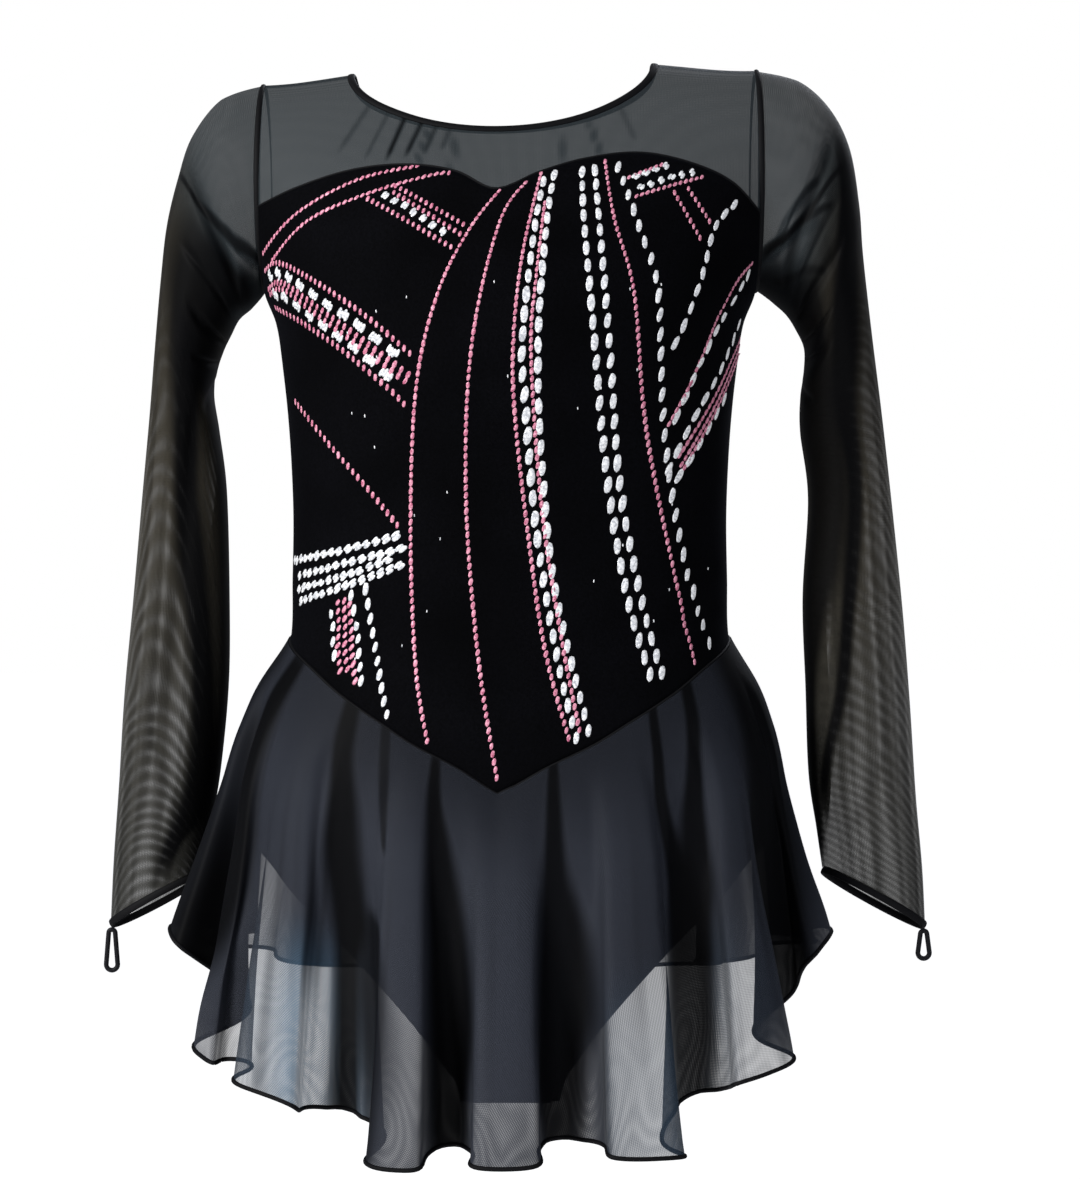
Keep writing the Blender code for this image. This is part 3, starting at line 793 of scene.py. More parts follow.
# %% [markdown]
# The skirt is cut as a wide ring of net in two halves with a hole for the waist. As its hem is so much
# longer than its seam, it has to fall in flutes: rounded ridges that grow from the waist down, with deep
# narrow valleys between them. Each flute stands in a table with its angle and how far it comes out. The
# front ones are placed after the photograph, and the back continues in the same way. The hem's height is
# a table as well.

# %% Skirt flutes and hem
# Share of the way from seam to hem, how far it stands off the torso at the side, in front and behind
SKIRT_FLARE = (
    (0.0, 1.4, 1.4, 1.4), (0.15, 10.5, 6, 6.5), (0.3, 12, 9, 8), (0.5, 9.5, 15, 11), (0.74, 12, 25, 19),
    (1.0, 19, 36, 28),
)
SKIRT_FLUTE_GROWTH = 1.25
FLUTE_TUCK = 0.85
RIDGE_BREADTH = 1.35

# Angle of the ridge, how far it stands out, angle of the valley after it, how far that goes in
FLUTES = (
    (-176, 20, -163, 16), (-150, 20, -137, 15), (-122, 16, -99, 18), (-84, 27, -74, 18),
    (-66, 15, -57, 2), (-47, 16, -28, 20), (-15.5, 22, -8.5, 17), (-0.5, 24, 8.5, 17),
    (20.5, 24, 34.5, 19), (47, 16, 63, 14), (84, 9, 101, 14), (118, 18, 133, 16), (147, 20, 165, 15),
)

# Angle from the front, height of the hem
HEM = (
    (-180, -572), (-135, -548), (-104, -524), (-86, -514), (-80, -526), (-73, -561), (-65, -583),
    (-56, -584), (-47, -595), (-38, -606), (-30, -609), (-22, -627), (-15, -633), (-8.5, -627),
    (0, -631), (8.5, -623), (21, -627), (30, -624), (36, -601), (47, -586), (60, -568), (68, -551),
    (76, -531), (85, -516), (104, -524), (135, -548), (180, -572),
)


marks = [(a, reach) for a, reach, _, _ in FLUTES] + [(a, -depth) for _, _, a, depth in FLUTES]
marks.sort()
FLUTE_MARKS = [(marks[-1][0] - 360, marks[-1][1]), *marks, (marks[0][0] + 360, marks[0][1])]


@cache
def flute_at(angle):
    """How far the skirt stands out of its mean form at an angle, and the turn within the flute."""
    if angle < FLUTE_MARKS[1][0] and angle + 360 <= FLUTE_MARKS[-1][0]:
        angle += 360
    last = len(FLUTE_MARKS) - 2
    i = next((k for k in range(last) if angle <= FLUTE_MARKS[k + 1][0]), last)
    (from_angle, from_reach), (to_angle, to_reach) = FLUTE_MARKS[i], FLUTE_MARKS[i + 1]
    t = (angle - from_angle) / (to_angle - from_angle)
    leave = t**RIDGE_BREADTH if from_reach > to_reach else 1 - (1 - t) ** RIDGE_BREADTH
    reach = from_reach + (to_reach - from_reach) * (1 - math.cos(math.pi * leave)) / 2
    sway = math.sin(2 * math.pi * t) * (to_angle - from_angle)
    return reach, sway


@cache
def hem_height(angle):
    return along(HEM, angle, 1)


# %% [markdown]
# Between the flutes the net has smaller soft folds that start at the waist seam, where its fullness is
# eased in. They are lines of angle and share of the way down, uneven on purpose.

# %% Skirt surface
# Two ends as angle and 100 times the way down, half width, depth
SKIRT_CREASES = (
    ((-78, 8), (-72, 60), 3.0, 2.2), ((-60, 4), (-60, 72), 3.5, 2.0), ((-51, 6), (-52, 50), 2.5, 1.4),
    ((-38, 5), (-37, 66), 3.0, 2.4), ((-21, 3), (-22, 52), 2.5, 1.8), ((-12, 2), (-11, 60), 2.0, 2.0),
    ((4, 2), (5, 66), 2.2, 2.0), ((14, 3), (13, 50), 2.2, 1.4), ((27, 4), (28, 70), 3.0, 2.4),
    ((41, 6), (40, 52), 2.6, 1.6), ((55, 4), (56, 74), 3.4, 2.2), ((71, 6), (73, 60), 3.0, 1.8),
    ((92, 5), (90, 64), 3.4, 2.0), ((110, 6), (111, 54), 3.0, 1.8), ((126, 4), (125, 70), 3.4, 2.2),
    ((140, 5), (141, 52), 2.8, 1.6), ((156, 4), (155, 66), 3.2, 2.2), ((172, 6), (173, 56), 3.0, 1.8),
    ((-168, 5), (-169, 62), 3.2, 2.0), ((-143, 4), (-144, 58), 3.2, 2.2),
    ((-128, 6), (-129, 70), 3.0, 1.8), ((-110, 5), (-109, 60), 3.2, 2.0),
)


def skirt_frame(angle, down):
    """The mean form's point, its outward direction and the millimetres in one degree."""
    side = FRONT if abs(angle) <= 90 else BACK
    u = angle / 90 if side == FRONT else math.copysign(180 - abs(angle), angle) / 90
    seam = waist_edge(u, side)
    z = seam + (hem_height(angle) - seam) * down
    wide = along(BODY, z, 1) + along(SKIRT_FLARE, down, 1)
    column = 2 if side == FRONT else 3
    deep = along(BODY, z, column) + along(SKIRT_FLARE, down, column)
    share = column_share(u)
    x = wide * share
    y = side * deep * (1 - abs(share) ** SECTION_POWER) ** (1 / SECTION_POWER)
    out = Vector((x / wide**2, y / deep**2, 0)).normalized()
    return Vector((x, y, z)), out, math.radians(1) * (wide + deep) / 2


# Bands of painted shade. Strength, then 100 times the way down, angle and half width in degrees
SKIRT_SHADOWS = (
    (
        0.98, (-8, -62, 3), (10, -66, 6), (26, -69, 9), (45, -68, 9), (65, -71, 10), (90, -77, 7),
        (118, -78, 6),
    ),
    (
        0.97, (-12, -38, 2), (8, -35, 3.4), (20, -32, 3.8), (34, -31, 4.2), (50, -29.5, 3.0),
        (62, -29.5, 1.6), (125, -29.5, 1.0),
    ),
    (0.8, (-6, -27, 1.6), (10, -23.5, 1.5), (20, -22, 1.1), (29, -21, 0.6)),
    (0.86, (42, -24, 2), (58, -23.5, 5), (75, -23.5, 6), (92, -23, 5), (122, -22, 3)),
    (
        0.97, (-8, -13.5, 0.8), (8, -12.5, 1.5), (20, -11, 2.5), (40, -9.5, 3.2), (66, -8.5, 3.2),
        (88, -9, 1.8), (112, -9, 1.2),
    ),
    (
        0.95, (-10, 8, 0.8), (10, 7, 1.4), (30, 7, 2.2), (48, 8, 4), (66, 8, 4.6), (80, 7.5, 3.2),
        (96, 8, 1.6), (112, 8, 1),
    ),
    (
        0.96, (-10, 35, 1.2), (6, 31, 1.6), (20, 29, 2), (42, 33, 2.8), (62, 35, 3.4), (80, 35.5, 2.6),
        (98, 35.5, 1.6), (120, 36, 1.2),
    ),
    (
        0.96, (-10, 48, 2.4), (6, 43, 2.6), (16, 39, 2.8), (28, 36.5, 3), (46, 37, 3.2), (60, 36, 2.6),
        (72, 36, 2),
    ),
    (
        0.97, (-10, 78, 14), (12, 72, 14), (34, 70, 16), (55, 69, 17), (76, 69, 15), (92, 68, 12),
        (108, 68, 8),
    ),
    (0.9, (-10, -92, 15), (30, -92, 13), (60, -90, 12), (84, -90, 10), (112, -90, 9)),
    (0.7, (0, 101, 3), (30, 102, 6), (70, 101, 7), (118, 101, 6)),
    (0.9, (2, 134, 2), (25, 133, 3), (60, 132, 4), (118, 133, 3)),
    (0.9, (2, 163, 2), (30, 164, 3.5), (70, 166, 4), (118, 165, 2.5)),
    (0.9, (2, -164, 2), (25, -163, 3.5), (60, -162, 4), (118, -163, 2.5)),
    (0.9, (2, -136, 2), (28, -137, 3), (66, -138, 4), (118, -137, 3)),
    (0.7, (0, -101, 3), (30, -100, 6), (70, -99, 6), (118, -99, 5)),
    (0.6, (6, 151, 1), (22, 150, 1.6), (40, 151, 0.8)),
    (0.6, (6, -150, 1), (20, -151, 1.6), (44, -150, 0.8)),
)
RIPPLES = 15
STREAKS = 34
RIPPLE_DEPTH = 1.3
SHADOW_PRESS = 7
CREASE_DRIFT = 4


def ripple(angle, down, count):
    """Fine uneven folds that run down the skirt, from -1 to 1. A higher count makes them finer."""
    around = math.radians(angle)
    return noise.noise(Vector((math.cos(around) * count, math.sin(around) * count, down)))


@cache
def skirt_shadows(down):
    return shadows_at(SKIRT_SHADOWS, 100 * down)


@cache
def creases_near(angle):
    """The creases that can reach a column of the skirt."""
    near = []
    for crease in SKIRT_CREASES:
        middle = (crease[0][0] + crease[1][0]) / 2
        if abs(angle - middle) < CREASE_REACH * crease[2] + CREASE_DRIFT:
            near.append(crease)
    return near


def skirt_place(angle, down):
    """A point of the skirt, the outward direction of its mean form and how deep in shade it lies."""
    place, out, degree = skirt_frame(angle, down)
    beside = Vector((-out.y, out.x, 0))
    growth = down**SKIRT_FLUTE_GROWTH
    reach, sway = flute_at(angle)
    tuck = sway * degree * FLUTE_TUCK / math.pi
    shade = shade_in(skirt_shadows(down), angle)
    dent = trough(creases_near(angle), Vector((angle, 100 * down)), CREASE_REACH)
    dent += RIPPLE_DEPTH * ripple(angle, down, RIPPLES) * smooth_step(3 * down)
    dent += SHADOW_PRESS * shade * down**2
    return place + (out * reach + beside * tuck) * growth - out * dent, out, shade


# %% [markdown]
# The net seems denser where it is seen edge on. The camera doesn't decide that here: the density is
# worked out from the form alone. Where the cloth turns away from the outward direction of the skirt, as
# on a flute's flanks, its closing value rises and painted shade darkens its colour, as it does in the
# valleys and just under the seam, but less where much light falls through it. Thin streaks stand for the
# finest folds, denser and darkened with painted shade. Near the hem the layers of a flute come close, and
# the watery rings appear. Below the brief light_through_tone paints a cool blue tone of light falling
# through into the thread. The tables of shadows and closings are placed after the photograph, so they
# hold its light as well, as painted shade and painted light.
# On the net's map the flat cut is a ring: the columns are spread round it by their length along the hem.

# %% Skirt pieces
SKIRT_COLUMNS = 400
SKIRT_ROWS = 80
RING_RADIUS = 165
RING_TURN = math.radians(130)
FLANK_CLOSING = 2.2
FLANK_POWER = 0.8
FLANK_LEAST = 0.05
FLANK_SHADE = 0.45
SHADE_CLOSING = 3.4
STREAK_CLOSING = 0.9
STREAK_SHADE = 0.6
SEAM_SHADE = 0.45
SEAM_SHADE_DOWN = 0.3
WATER_COUNT = 6
WATER_SIZE = 24
WATER_DROP = 0.45
WATER_DEPTH = 0.1
WATER_FROM = 0.6
LIGHT_THROUGH_FROM = 0.5
LIGHT_THROUGH_OVER = 0.3

# Angle from the front, closing at the waist, closing at the hem, light_through_tone at the hem, which is
# the painted tone of light falling through
SKIRT_CLOSING = (
    (-180, 1.2, 0.8, 0), (-120, 1.4, 0.8, 0), (-100, 2.4, 1.8, 0), (-84, 3.4, 3.0, 0),
    (-72, 2.6, 1.3, 0), (-62, 1.6, 1.0, 0), (-57, 1.4, 0.6, 0), (-51, 1.3, 0.5, 0.1),
    (-46, 1.3, 0.9, 0.3), (-42, 1.3, 1.5, 0.9), (-37, 1.2, 1.5, 1.0), (-33, 1.2, 1.1, 0.9),
    (-26, 1.2, 1.8, 0.1), (-16, 1.2, 2.0, 0), (0, 1.1, 2.1, 0), (12, 1.1, 1.8, 0), (20, 1.1, 1.1, 0.2),
    (28, 1.2, 0.85, 0.3), (44, 1.2, 0.8, 0.1), (56, 1.6, 1.0, 0), (70, 2.6, 2.0, 0), (84, 3.4, 3.2, 0),
    (100, 2.4, 1.8, 0), (120, 1.4, 0.8, 0), (180, 1.2, 0.8, 0),
)


def skirt_net_at(place, angle, down, facing, shade):
    """The values of the net, where facing is 1 square to the skirt's outward direction and 0 edge on."""
    seam, hem = along(SKIRT_CLOSING, angle, 1), along(SKIRT_CLOSING, angle, 2)
    light_through_tone = along(SKIRT_CLOSING, angle, 3) * smooth_step((down - LIGHT_THROUGH_FROM) / LIGHT_THROUGH_OVER)
    flank = 1 + (min(max(facing, FLANK_LEAST) ** -FLANK_POWER, FLANK_CLOSING) - 1) * (1 - light_through_tone)
    streak = max(ripple(angle, down, STREAKS), 0) * smooth_step(2 * down)
    closing = (seam + (hem - seam) * down) * flank + SHADE_CLOSING * shade + STREAK_CLOSING * streak
    # Painted shade: the bands, the flanks, the streaks and the net just under the seam darken its colour.
    under_seam = SEAM_SHADE * (1 - smooth_step(down / SEAM_SHADE_DOWN))
    lit = (1 - shade) * (1 - STREAK_SHADE * streak) * (1 - under_seam)
    lit *= 1 - FLANK_SHADE * (1 - facing) * (1 - light_through_tone)
    water = WATER_COUNT * noise.noise(Vector((place.x, place.y, place.z * WATER_DROP)) / WATER_SIZE)
    depth = WATER_DEPTH * smooth_step((down - WATER_FROM) / (1 - WATER_FROM))
    return closing, 1 - lit, water, depth, light_through_tone


def skirt_piece(first, label):
    angles = [wrapped(first + 180 * share) for share in shares(SKIRT_COLUMNS)]
    places = [[skirt_place(angle, down) for angle in angles] for down in shares(SKIRT_ROWS)]
    grid = [[place for place, _, _ in line] for line in places]
    hem = [0]
    for a, b in zip(grid[-1], grid[-1][1:]):
        hem.append(hem[-1] + (b - a).length)
    lengths = [0] * len(angles)
    cut, nets = [], []
    for row, line in enumerate(grid):
        flat, net = [], []
        for column, point in enumerate(line):
            if row:
                lengths[column] += (point - grid[row - 1][column]).length
            turn = RING_TURN * hem[column] / hem[-1]
            radius = RING_RADIUS + lengths[column]
            flat.append((radius * math.cos(turn), radius * math.sin(turn)))
            low, high = grid[min(row + 1, SKIRT_ROWS)][column], grid[max(row - 1, 0)][column]
            right, left = line[min(column + 1, SKIRT_COLUMNS)], line[max(column - 1, 0)]
            normal = (right - left).cross(low - high).normalized()
            _, out, shade = places[row][column]
            net.append(skirt_net_at(point, angles[column], row / SKIRT_ROWS, abs(normal.dot(out)), shade))
        cut.append(flat)
        nets.append(net)
    print("hem", round(hem[-1]), "mm, length", round(sum(lengths) / len(lengths)), "mm")
    return cloth(f"skirt_{label}_net", grid, cut, SKIRT, nets)


for first, label in ((-90, "front"), (90, "back")):
    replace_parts(skirt_piece(first, label), f"skirt_{label}")

# %% [markdown]
# A sleeve is one piece of net, sewn to a tube and set in the armhole. It is cut wide: at the armpit it
# drags in creases, and down the inner side a long fold doubles it. There it is almost black, from the
# denser net and from painted shade, while the outer side stays clear and shows the net's rings.

# %% Sleeve sections and folds
# Outer edge x and height, inner edge x and height, middle's depth, half depth
SLEEVE = {
    LEFT: (
        (147.3, -11, 147.3, -138, 0, 46), (172, -19, 156, -145, 1, 46), (190, -41, 163, -151, 2, 44),
        (199, -66, 168, -160, 4, 41), (206, -94, 173, -170, 6, 38), (210, -126, 177, -182, 8, 35),
        (214, -166, 179, -196, 11, 32), (218, -208, 176, -218, 15, 29), (223, -256, 172, -254, 19, 27),
        (229.5, -320, 171, -318, 25, 25), (235.5, -376, 172, -370, 30, 23),
        (239.5, -432, 177, -420, 34, 21), (243, -478, 183, -458, 36, 20),
        (245, -521, 186, -488, 36, 20),
    ),
    RIGHT: (
        (147.3, -3, 147.3, -131, 0, 46), (172, -8, 157, -140, 1, 46), (191, -24, 166, -148, 2, 44),
        (203.5, -48, 172, -157, 3, 41), (209.5, -82, 177, -168, 4, 38), (212, -112, 177, -181, 5, 35),
        (217.5, -158, 175, -197, 7, 32), (224, -208, 175, -218, 9, 30), (230, -258, 180, -258, 12, 28),
        (237, -322, 177, -318, 15, 26), (242, -380, 179, -372, 18, 25), (246, -438, 181, -424, 20, 24),
        (250, -482, 186, -458, 21, 23), (252, -520, 190, -485, 22, 22),
    ),
}
RINGS = 13
RING_SPACING = 40
DEGREE_ARC = 0.55
CUFF_RING_LENGTH = 37
CUFF_WIDTH = 5
CUFF_TILT = 4
CUFF_TILT_RINGS = 3

# Two ends as ring and angle, half width and depth in mm. The angle runs from the outer edge (0) by the
# front (90) to the inner edge (180) and the back (270).
SLEEVE_FOLDS = {
    LEFT: (
        ((2.6, 40), (1.2, 150), 7, 4.0), ((4.6, 95), (3.4, 185), 6, 3.0),
        ((7.5, 215), (12.2, 232), 6, 9.0), ((6.2, 120), (11.0, 75), 7, 2.5),
        ((3.8, 60), (2.2, 160), 4, 1.6), ((5.6, 110), (4.4, 190), 4, 1.8),
        ((6.8, 130), (5.2, 200), 4, 1.6), ((3.4, 300), (2.0, 220), 6, 2.6),
        ((5.2, 290), (3.8, 215), 5, 2.0), ((10.2, 60), (11.8, 120), 4, 1.2),
    ),
    RIGHT: (
        ((2.4, 40), (1.2, 150), 7, 4.0), ((3.9, 70), (2.6, 165), 6, 3.5),
        ((5.6, 105), (4.6, 185), 6, 3.0), ((7.0, 228), (12.2, 215), 6, 9.0),
        ((6.4, 80), (11.4, 110), 7, 2.5), ((3.2, 55), (1.9, 155), 4, 1.6),
        ((4.8, 100), (3.6, 180), 4, 1.8), ((6.6, 130), (5.4, 195), 4, 1.6),
        ((3.2, 300), (2.0, 220), 6, 2.6), ((5.0, 290), (3.8, 215), 5, 2.0),
        ((10.4, 60), (11.9, 115), 4, 1.2),
    ),
}


def sleeve_section(side, ring, column):
    return along([(i, *row) for i, row in enumerate(SLEEVE[side])], ring, column + 1)


def sleeve_dent(side, ring, angle):
    """Depth of the folds at a place on a sleeve, with the angle brought to the nearest turn of each."""
    deep = 0
    for (ring_a, angle_a), (ring_b, angle_b), half, depth in SLEEVE_FOLDS[side]:
        start = (ring_a * RING_SPACING, 0)
        end = (ring_b * RING_SPACING, (angle_b - angle_a) * DEGREE_ARC)
        place = Vector((ring * RING_SPACING, wrapped(angle - angle_a) * DEGREE_ARC))
        deep += trough(((start, end, half, depth),), place, CREASE_REACH)
    return deep


def sleeve_point(side, ring, angle, bands=None):
    columns = bands or [sleeve_section(side, ring, k) for k in range(6)]
    outer = Vector((columns[0], 0, columns[1]))
    inner = Vector((columns[2], 0, columns[3]))
    middle = (outer + inner) / 2
    middle.y = columns[4]
    turn = math.radians(angle)
    from_middle = (outer - inner) / 2 * math.cos(turn)
    from_middle.y = -columns[5] * math.sin(turn)
    place = middle + from_middle * (1 - sleeve_dent(side, ring, angle) / from_middle.length)
    place.x *= side
    place.z += CUFF_TILT * math.sin(turn) * smooth_step((ring - RINGS) / CUFF_TILT_RINGS + 1)
    if ring >= 1:
        return place
    high = -ARMHOLE_HEIGHT / 2 * (1 - math.cos(turn))
    x = side * (ARMHOLE_X + GAP)
    seam = Vector((x, -ARMHOLE_DEPTH * math.sin(turn), high + shoulder_shift(side * ARMHOLE_X, high)))
    return seam.lerp(place, ring)


# %% [markdown]
# How dark the net of a sleeve looks changes along it, and the tables give that: clear over the
# shoulder, darker round the upper arm, clear again on the forearm. The darker net is denser, and painted
# shade darkens its colour too. Dark bands stand where the net is doubled: a drag line that ends the
# smooth shoulder, the crumpled armpit, and the long fold down the inner side. There too the net is denser
# and painted shade darkens it, and so it does along the folds and streaks. The same bands lie on the back,
# a little weaker. Down the arm light_through_tone paints a warm tone of light falling through into the
# thread. The watery rings are arcs on one forearm and slanting stripes on the other, because the two
# sleeves hang a little differently.

# %% Sleeve pieces
SLEEVE_COLUMNS = 144
SLEEVE_ROWS = 240
# Ring, closing all round, painted shade all round, light_through_tone (painted tone of light
# falling through)
SLEEVE_CLOSING = (
    (0, 1.2, 0.05, 0), (1.8, 1.25, 0.1, 0), (3, 2.0, 0.4, 0.5), (4, 2.5, 0.55, 1), (5, 2.3, 0.5, 1),
    (6.5, 1.6, 0.3, 1), (8, 1.2, 0.12, 1), (10, 1.05, 0.05, 0.8), (13, 1.0, 0, 0.6),
)
CAP_END = 1.8
SLEEVE_STREAKS = 6
SLEEVE_STREAK_LENGTH = 5
SLEEVE_STREAK_CLOSING = 1.4
SLEEVE_STREAK_SHADE = 0.7

# Bands of painted shade. Strength, then ring, angle and half width in degrees
SLEEVE_SHADOWS = {
    LEFT: (
        (0.85, (-0.4, 152, 4), (0.4, 134, 4), (1.1, 114, 5), (1.7, 97, 5), (2.4, 66, 6), (3, 14, 8)),
        (
            0.95, (0.5, 156, 12), (1.5, 144, 24), (2.4, 124, 40), (3.4, 114, 52), (4.4, 114, 58),
            (5.2, 120, 56), (6.4, 130, 44),
        ),
        (
            0.98, (4.4, 108, 30), (6, 106, 30), (7.2, 102, 24), (8, 100, 19), (8.6, 108, 20),
            (9.2, 118, 17), (10.2, 128, 17), (11, 134, 22), (11.8, 124, 24), (12.2, 106, 14),
            (13, 96, 8),
        ),
        (
            0.85, (4.6, 176, 44), (7, 172, 34), (9, 174, 30), (11, 172, 32), (12, 162, 36),
            (13.6, 156, 34),
        ),
        (0.5, (-0.4, 172, 16), (0.6, 165, 22), (1.6, 160, 26)),
    ),
    RIGHT: (
        (0.85, (0.2, 138, 3), (0.8, 126, 3), (1.9, 96, 4), (2.9, 48, 4), (3.3, 30, 3)),
        (0.75, (0.4, 138, 3), (1.2, 116, 3), (1.9, 100, 3), (2.9, 76, 2.5)),
        (0.6, (0.2, 144, 3), (0.8, 128, 3), (1.3, 100, 3), (2.1, 74, 3)),
        (0.6, (0.8, 152, 3), (1.4, 144, 3.5), (2.4, 124, 3), (3.6, 106, 3)),
        (
            0.88, (-0.4, 176, 18), (0.6, 166, 26), (1.8, 160, 32), (3, 156, 36), (4.4, 152, 34),
            (6, 152, 28),
        ),
        (
            0.97, (2.1, 40, 4), (3, 50, 16), (3.6, 62, 28), (4.8, 76, 34), (5.8, 82, 30), (6.6, 90, 22),
            (7.6, 86, 12), (8.6, 94, 10), (9.2, 102, 8), (10, 114, 7), (10.8, 134, 7), (11.8, 150, 6),
        ),
        (
            0.93, (4, 148, 24), (6.5, 134, 40), (7.6, 130, 42), (8.6, 138, 36), (9.2, 150, 26),
            (10, 164, 18), (11, 166, 16), (12.8, 172, 10),
        ),
    ),
}
BACK_SHADE = 0.75
SLEEVE_SHADE_CLOSING = 3.2
FOLD_CLOSING = 0.3
FOLD_SHADE = 0.12

# Ring, turns of the watery rings from the shoulder down, their depth
SLEEVE_RINGS = {
    LEFT: ((0, 0, 0), (3, 1, 0.1), (5, 3, 0.3), (7, 6.5, 0.45), (9, 12, 0.5), (11, 20, 0.5), (13, 31, 0.5)),
    RIGHT: ((0, 0, 0), (3, 14, 0.1), (5, 25, 0.25), (9, 48, 0.3), (11, 60, 0.3), (13, 73, 0.25)),
}
ARC_MIDDLE = 68
ARC_BEND = {LEFT: 7, RIGHT: 2}
STRIPE_SLANT = {LEFT: 0, RIGHT: 0.04}
RING_NOISE = 1.2
RING_NOISE_SIZE = 45


def sleeve_net_at(side, place, ring, angle, crossing):
    front = angle <= 180
    shade = shade_in(crossing, angle if front else 360 - angle) * (1 if front else BACK_SHADE)
    dent = sleeve_dent(side, ring, angle)
    streak = max(ripple(angle, ring / SLEEVE_STREAK_LENGTH, SLEEVE_STREAKS), 0)
    streak *= smooth_step((ring - CAP_END) / CAP_END)
    closing = along(SLEEVE_CLOSING, ring, 1) + SLEEVE_SHADE_CLOSING * shade + FOLD_CLOSING * dent
    closing += SLEEVE_STREAK_CLOSING * streak
    turns = along(SLEEVE_RINGS[side], ring, 1) + STRIPE_SLANT[side] * angle
    turns -= ARC_BEND[side] * (1 - math.cos(math.radians(angle - ARC_MIDDLE)))
    turns += RING_NOISE * noise.noise(place / RING_NOISE_SIZE)
    depth = along(SLEEVE_RINGS[side], ring, 2) * math.sqrt(max(math.sin(math.radians(angle)), 0))
    # Painted shade: the bands, folds, streaks and upper arm darken the thread's colour.
    lit = (1 - shade) * (1 - min(FOLD_SHADE * dent, 1)) * (1 - SLEEVE_STREAK_SHADE * streak)
    lit *= 1 - along(SLEEVE_CLOSING, ring, 2)
    return closing, 1 - lit, turns, depth, along(SLEEVE_CLOSING, ring, 3)


def sleeve_piece(side, label):
    sewn = RINGS - CUFF_WIDTH / CUFF_RING_LENGTH
    grid, cut, nets = [], [], []
    long = 0
    before = None
    for down in shares(SLEEVE_ROWS):
        ring = sewn * down
        bands = [sleeve_section(side, ring, k) for k in range(6)]
        line = [sleeve_point(side, ring, 360 * share, bands) for share in shares(SLEEVE_COLUMNS)]
        middle = sum(line[:-1], Vector()) / SLEEVE_COLUMNS
        long += (middle - before).length if before else 0
        before = middle
        girth = sum((b - a).length for a, b in zip(line, line[1:]))
        crossing = shadows_at(SLEEVE_SHADOWS[side], ring)
        flat, net = [], []
        for share, place in zip(shares(SLEEVE_COLUMNS), line):
            flat.append((girth * (share - 0.5), long))
            net.append(sleeve_net_at(side, place, ring, 360 * share, crossing))
        grid.append(line)
        cut.append(flat)
        nets.append(net)
    print("sleeve", label, "length", round(long), "mm, last girth", round(girth), "mm")
    finish = SLEEVE_CLOTH
    return cloth(f"sleeve_{label}_net", grid, cut, finish, nets, tube=True, flip=side == RIGHT)


for side, label in ((LEFT, "left"), (RIGHT, "right")):
    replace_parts(sleeve_piece(side, label), f"sleeve_{label}")

# %% [markdown]
# Bindings, rolled hems and seams are all narrow strips or welts along a line. One function makes
# them: a grid that is wrapped round the line with an oval section, its ends filled. The line's outward
# directions turn the oval, so that a flat band lies on the cloth.

# %% Bands along a line
BAND_SIDES = 8


def band(name, points, outs, wide, thick, finish, closed=True):
    """A strip along points in mm. wide is its size on the cloth and thick its size off the cloth.

    wide can be a list, with a size for each point.
    """
    material, slot = finish
    count = len(points)
    segments = count if closed else count - 1
    form = bmesh.new()
    bmesh.ops.create_grid(form, x_segments=segments, y_segments=BAND_SIDES, size=0.5)
    for vert in form.verts:
        i = round((vert.co.x + 0.5) * segments) % count
        turn = 2 * math.pi * (vert.co.y + 0.5)
        behind = points[i - 1] if closed or i else points[i]
        ahead = points[(i + 1) % count] if closed or i < count - 1 else points[i]
        run = (ahead - behind).normalized()
        across = run.cross(outs[i]).normalized()
        out = across.cross(run)
        width = wide[i] if isinstance(wide, list) else wide
        vert.co = (points[i] + across * math.cos(turn) * width / 2 + out * math.sin(turn) * thick / 2) * MM
    bmesh.ops.remove_doubles(form, verts=form.verts[:], dist=SAME_PLACE * MM)
    ends = [edge for edge in form.edges if edge.is_boundary]
    if ends:
        bmesh.ops.holes_fill(form, edges=ends, sides=BAND_SIDES)
    bmesh.ops.recalc_face_normals(form, faces=form.faces[:])
    mesh = as_mesh(form, name)
    print(name, "faces", len(mesh.polygons))
    return show(name, mesh, material)


BINDING = binding, "binding"
ELASTIC = elastic, "elastic"

# %% [markdown]
# The neck is bound with a strip 4.5 mm wide that lies inside the yoke's top edge. Both sleeves end in
# a like one, slanted to a point on the outer side of the hand.

# %% Neck binding and cuffs
BINDING_WIDTH = 4.5
BINDING_THICK = 1.8
BINDING_INSIDE = 0.8
NECK_STEPS = 80
NECK_CORNER = -1


def neck_route():
    inside = [NECK_SPAN * (2 * share - 1) for share in shares(NECK_STEPS)]
    places = [(*neck_edge(u, FRONT), FRONT) for u in inside[:-1]]
    places += [(*neck_edge(u, BACK), BACK) for u in inside[:0:-1]]
    points, outs = [], []
    for x, z, side in places:
        point = torso_at(x, z, side)
        out = torso_normal(x, z, side)
        if z > NECK_CORNER:
            point.y = 0
            out = Vector((0, 0, 1))
        points.append(point)
        outs.append(out)
    return points, outs


neck_points, neck_outs = neck_route()
neck_middles = []
for i, point in enumerate(neck_points):
    run = (neck_points[(i + 1) % len(neck_points)] - neck_points[i - 1]).normalized()
    inward = neck_outs[i].cross(run).normalized()
    neck_middles.append(point + inward * BINDING_WIDTH / 2 * BINDING_INSIDE)
neck_band = band("neck_binding_band", neck_middles, neck_outs, BINDING_WIDTH, BINDING_THICK, BINDING)
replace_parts(neck_band, "neck_binding")

CUFF_STEPS = 72
CUFF_BAND = 4.6
CUFF_THICK = 1.4


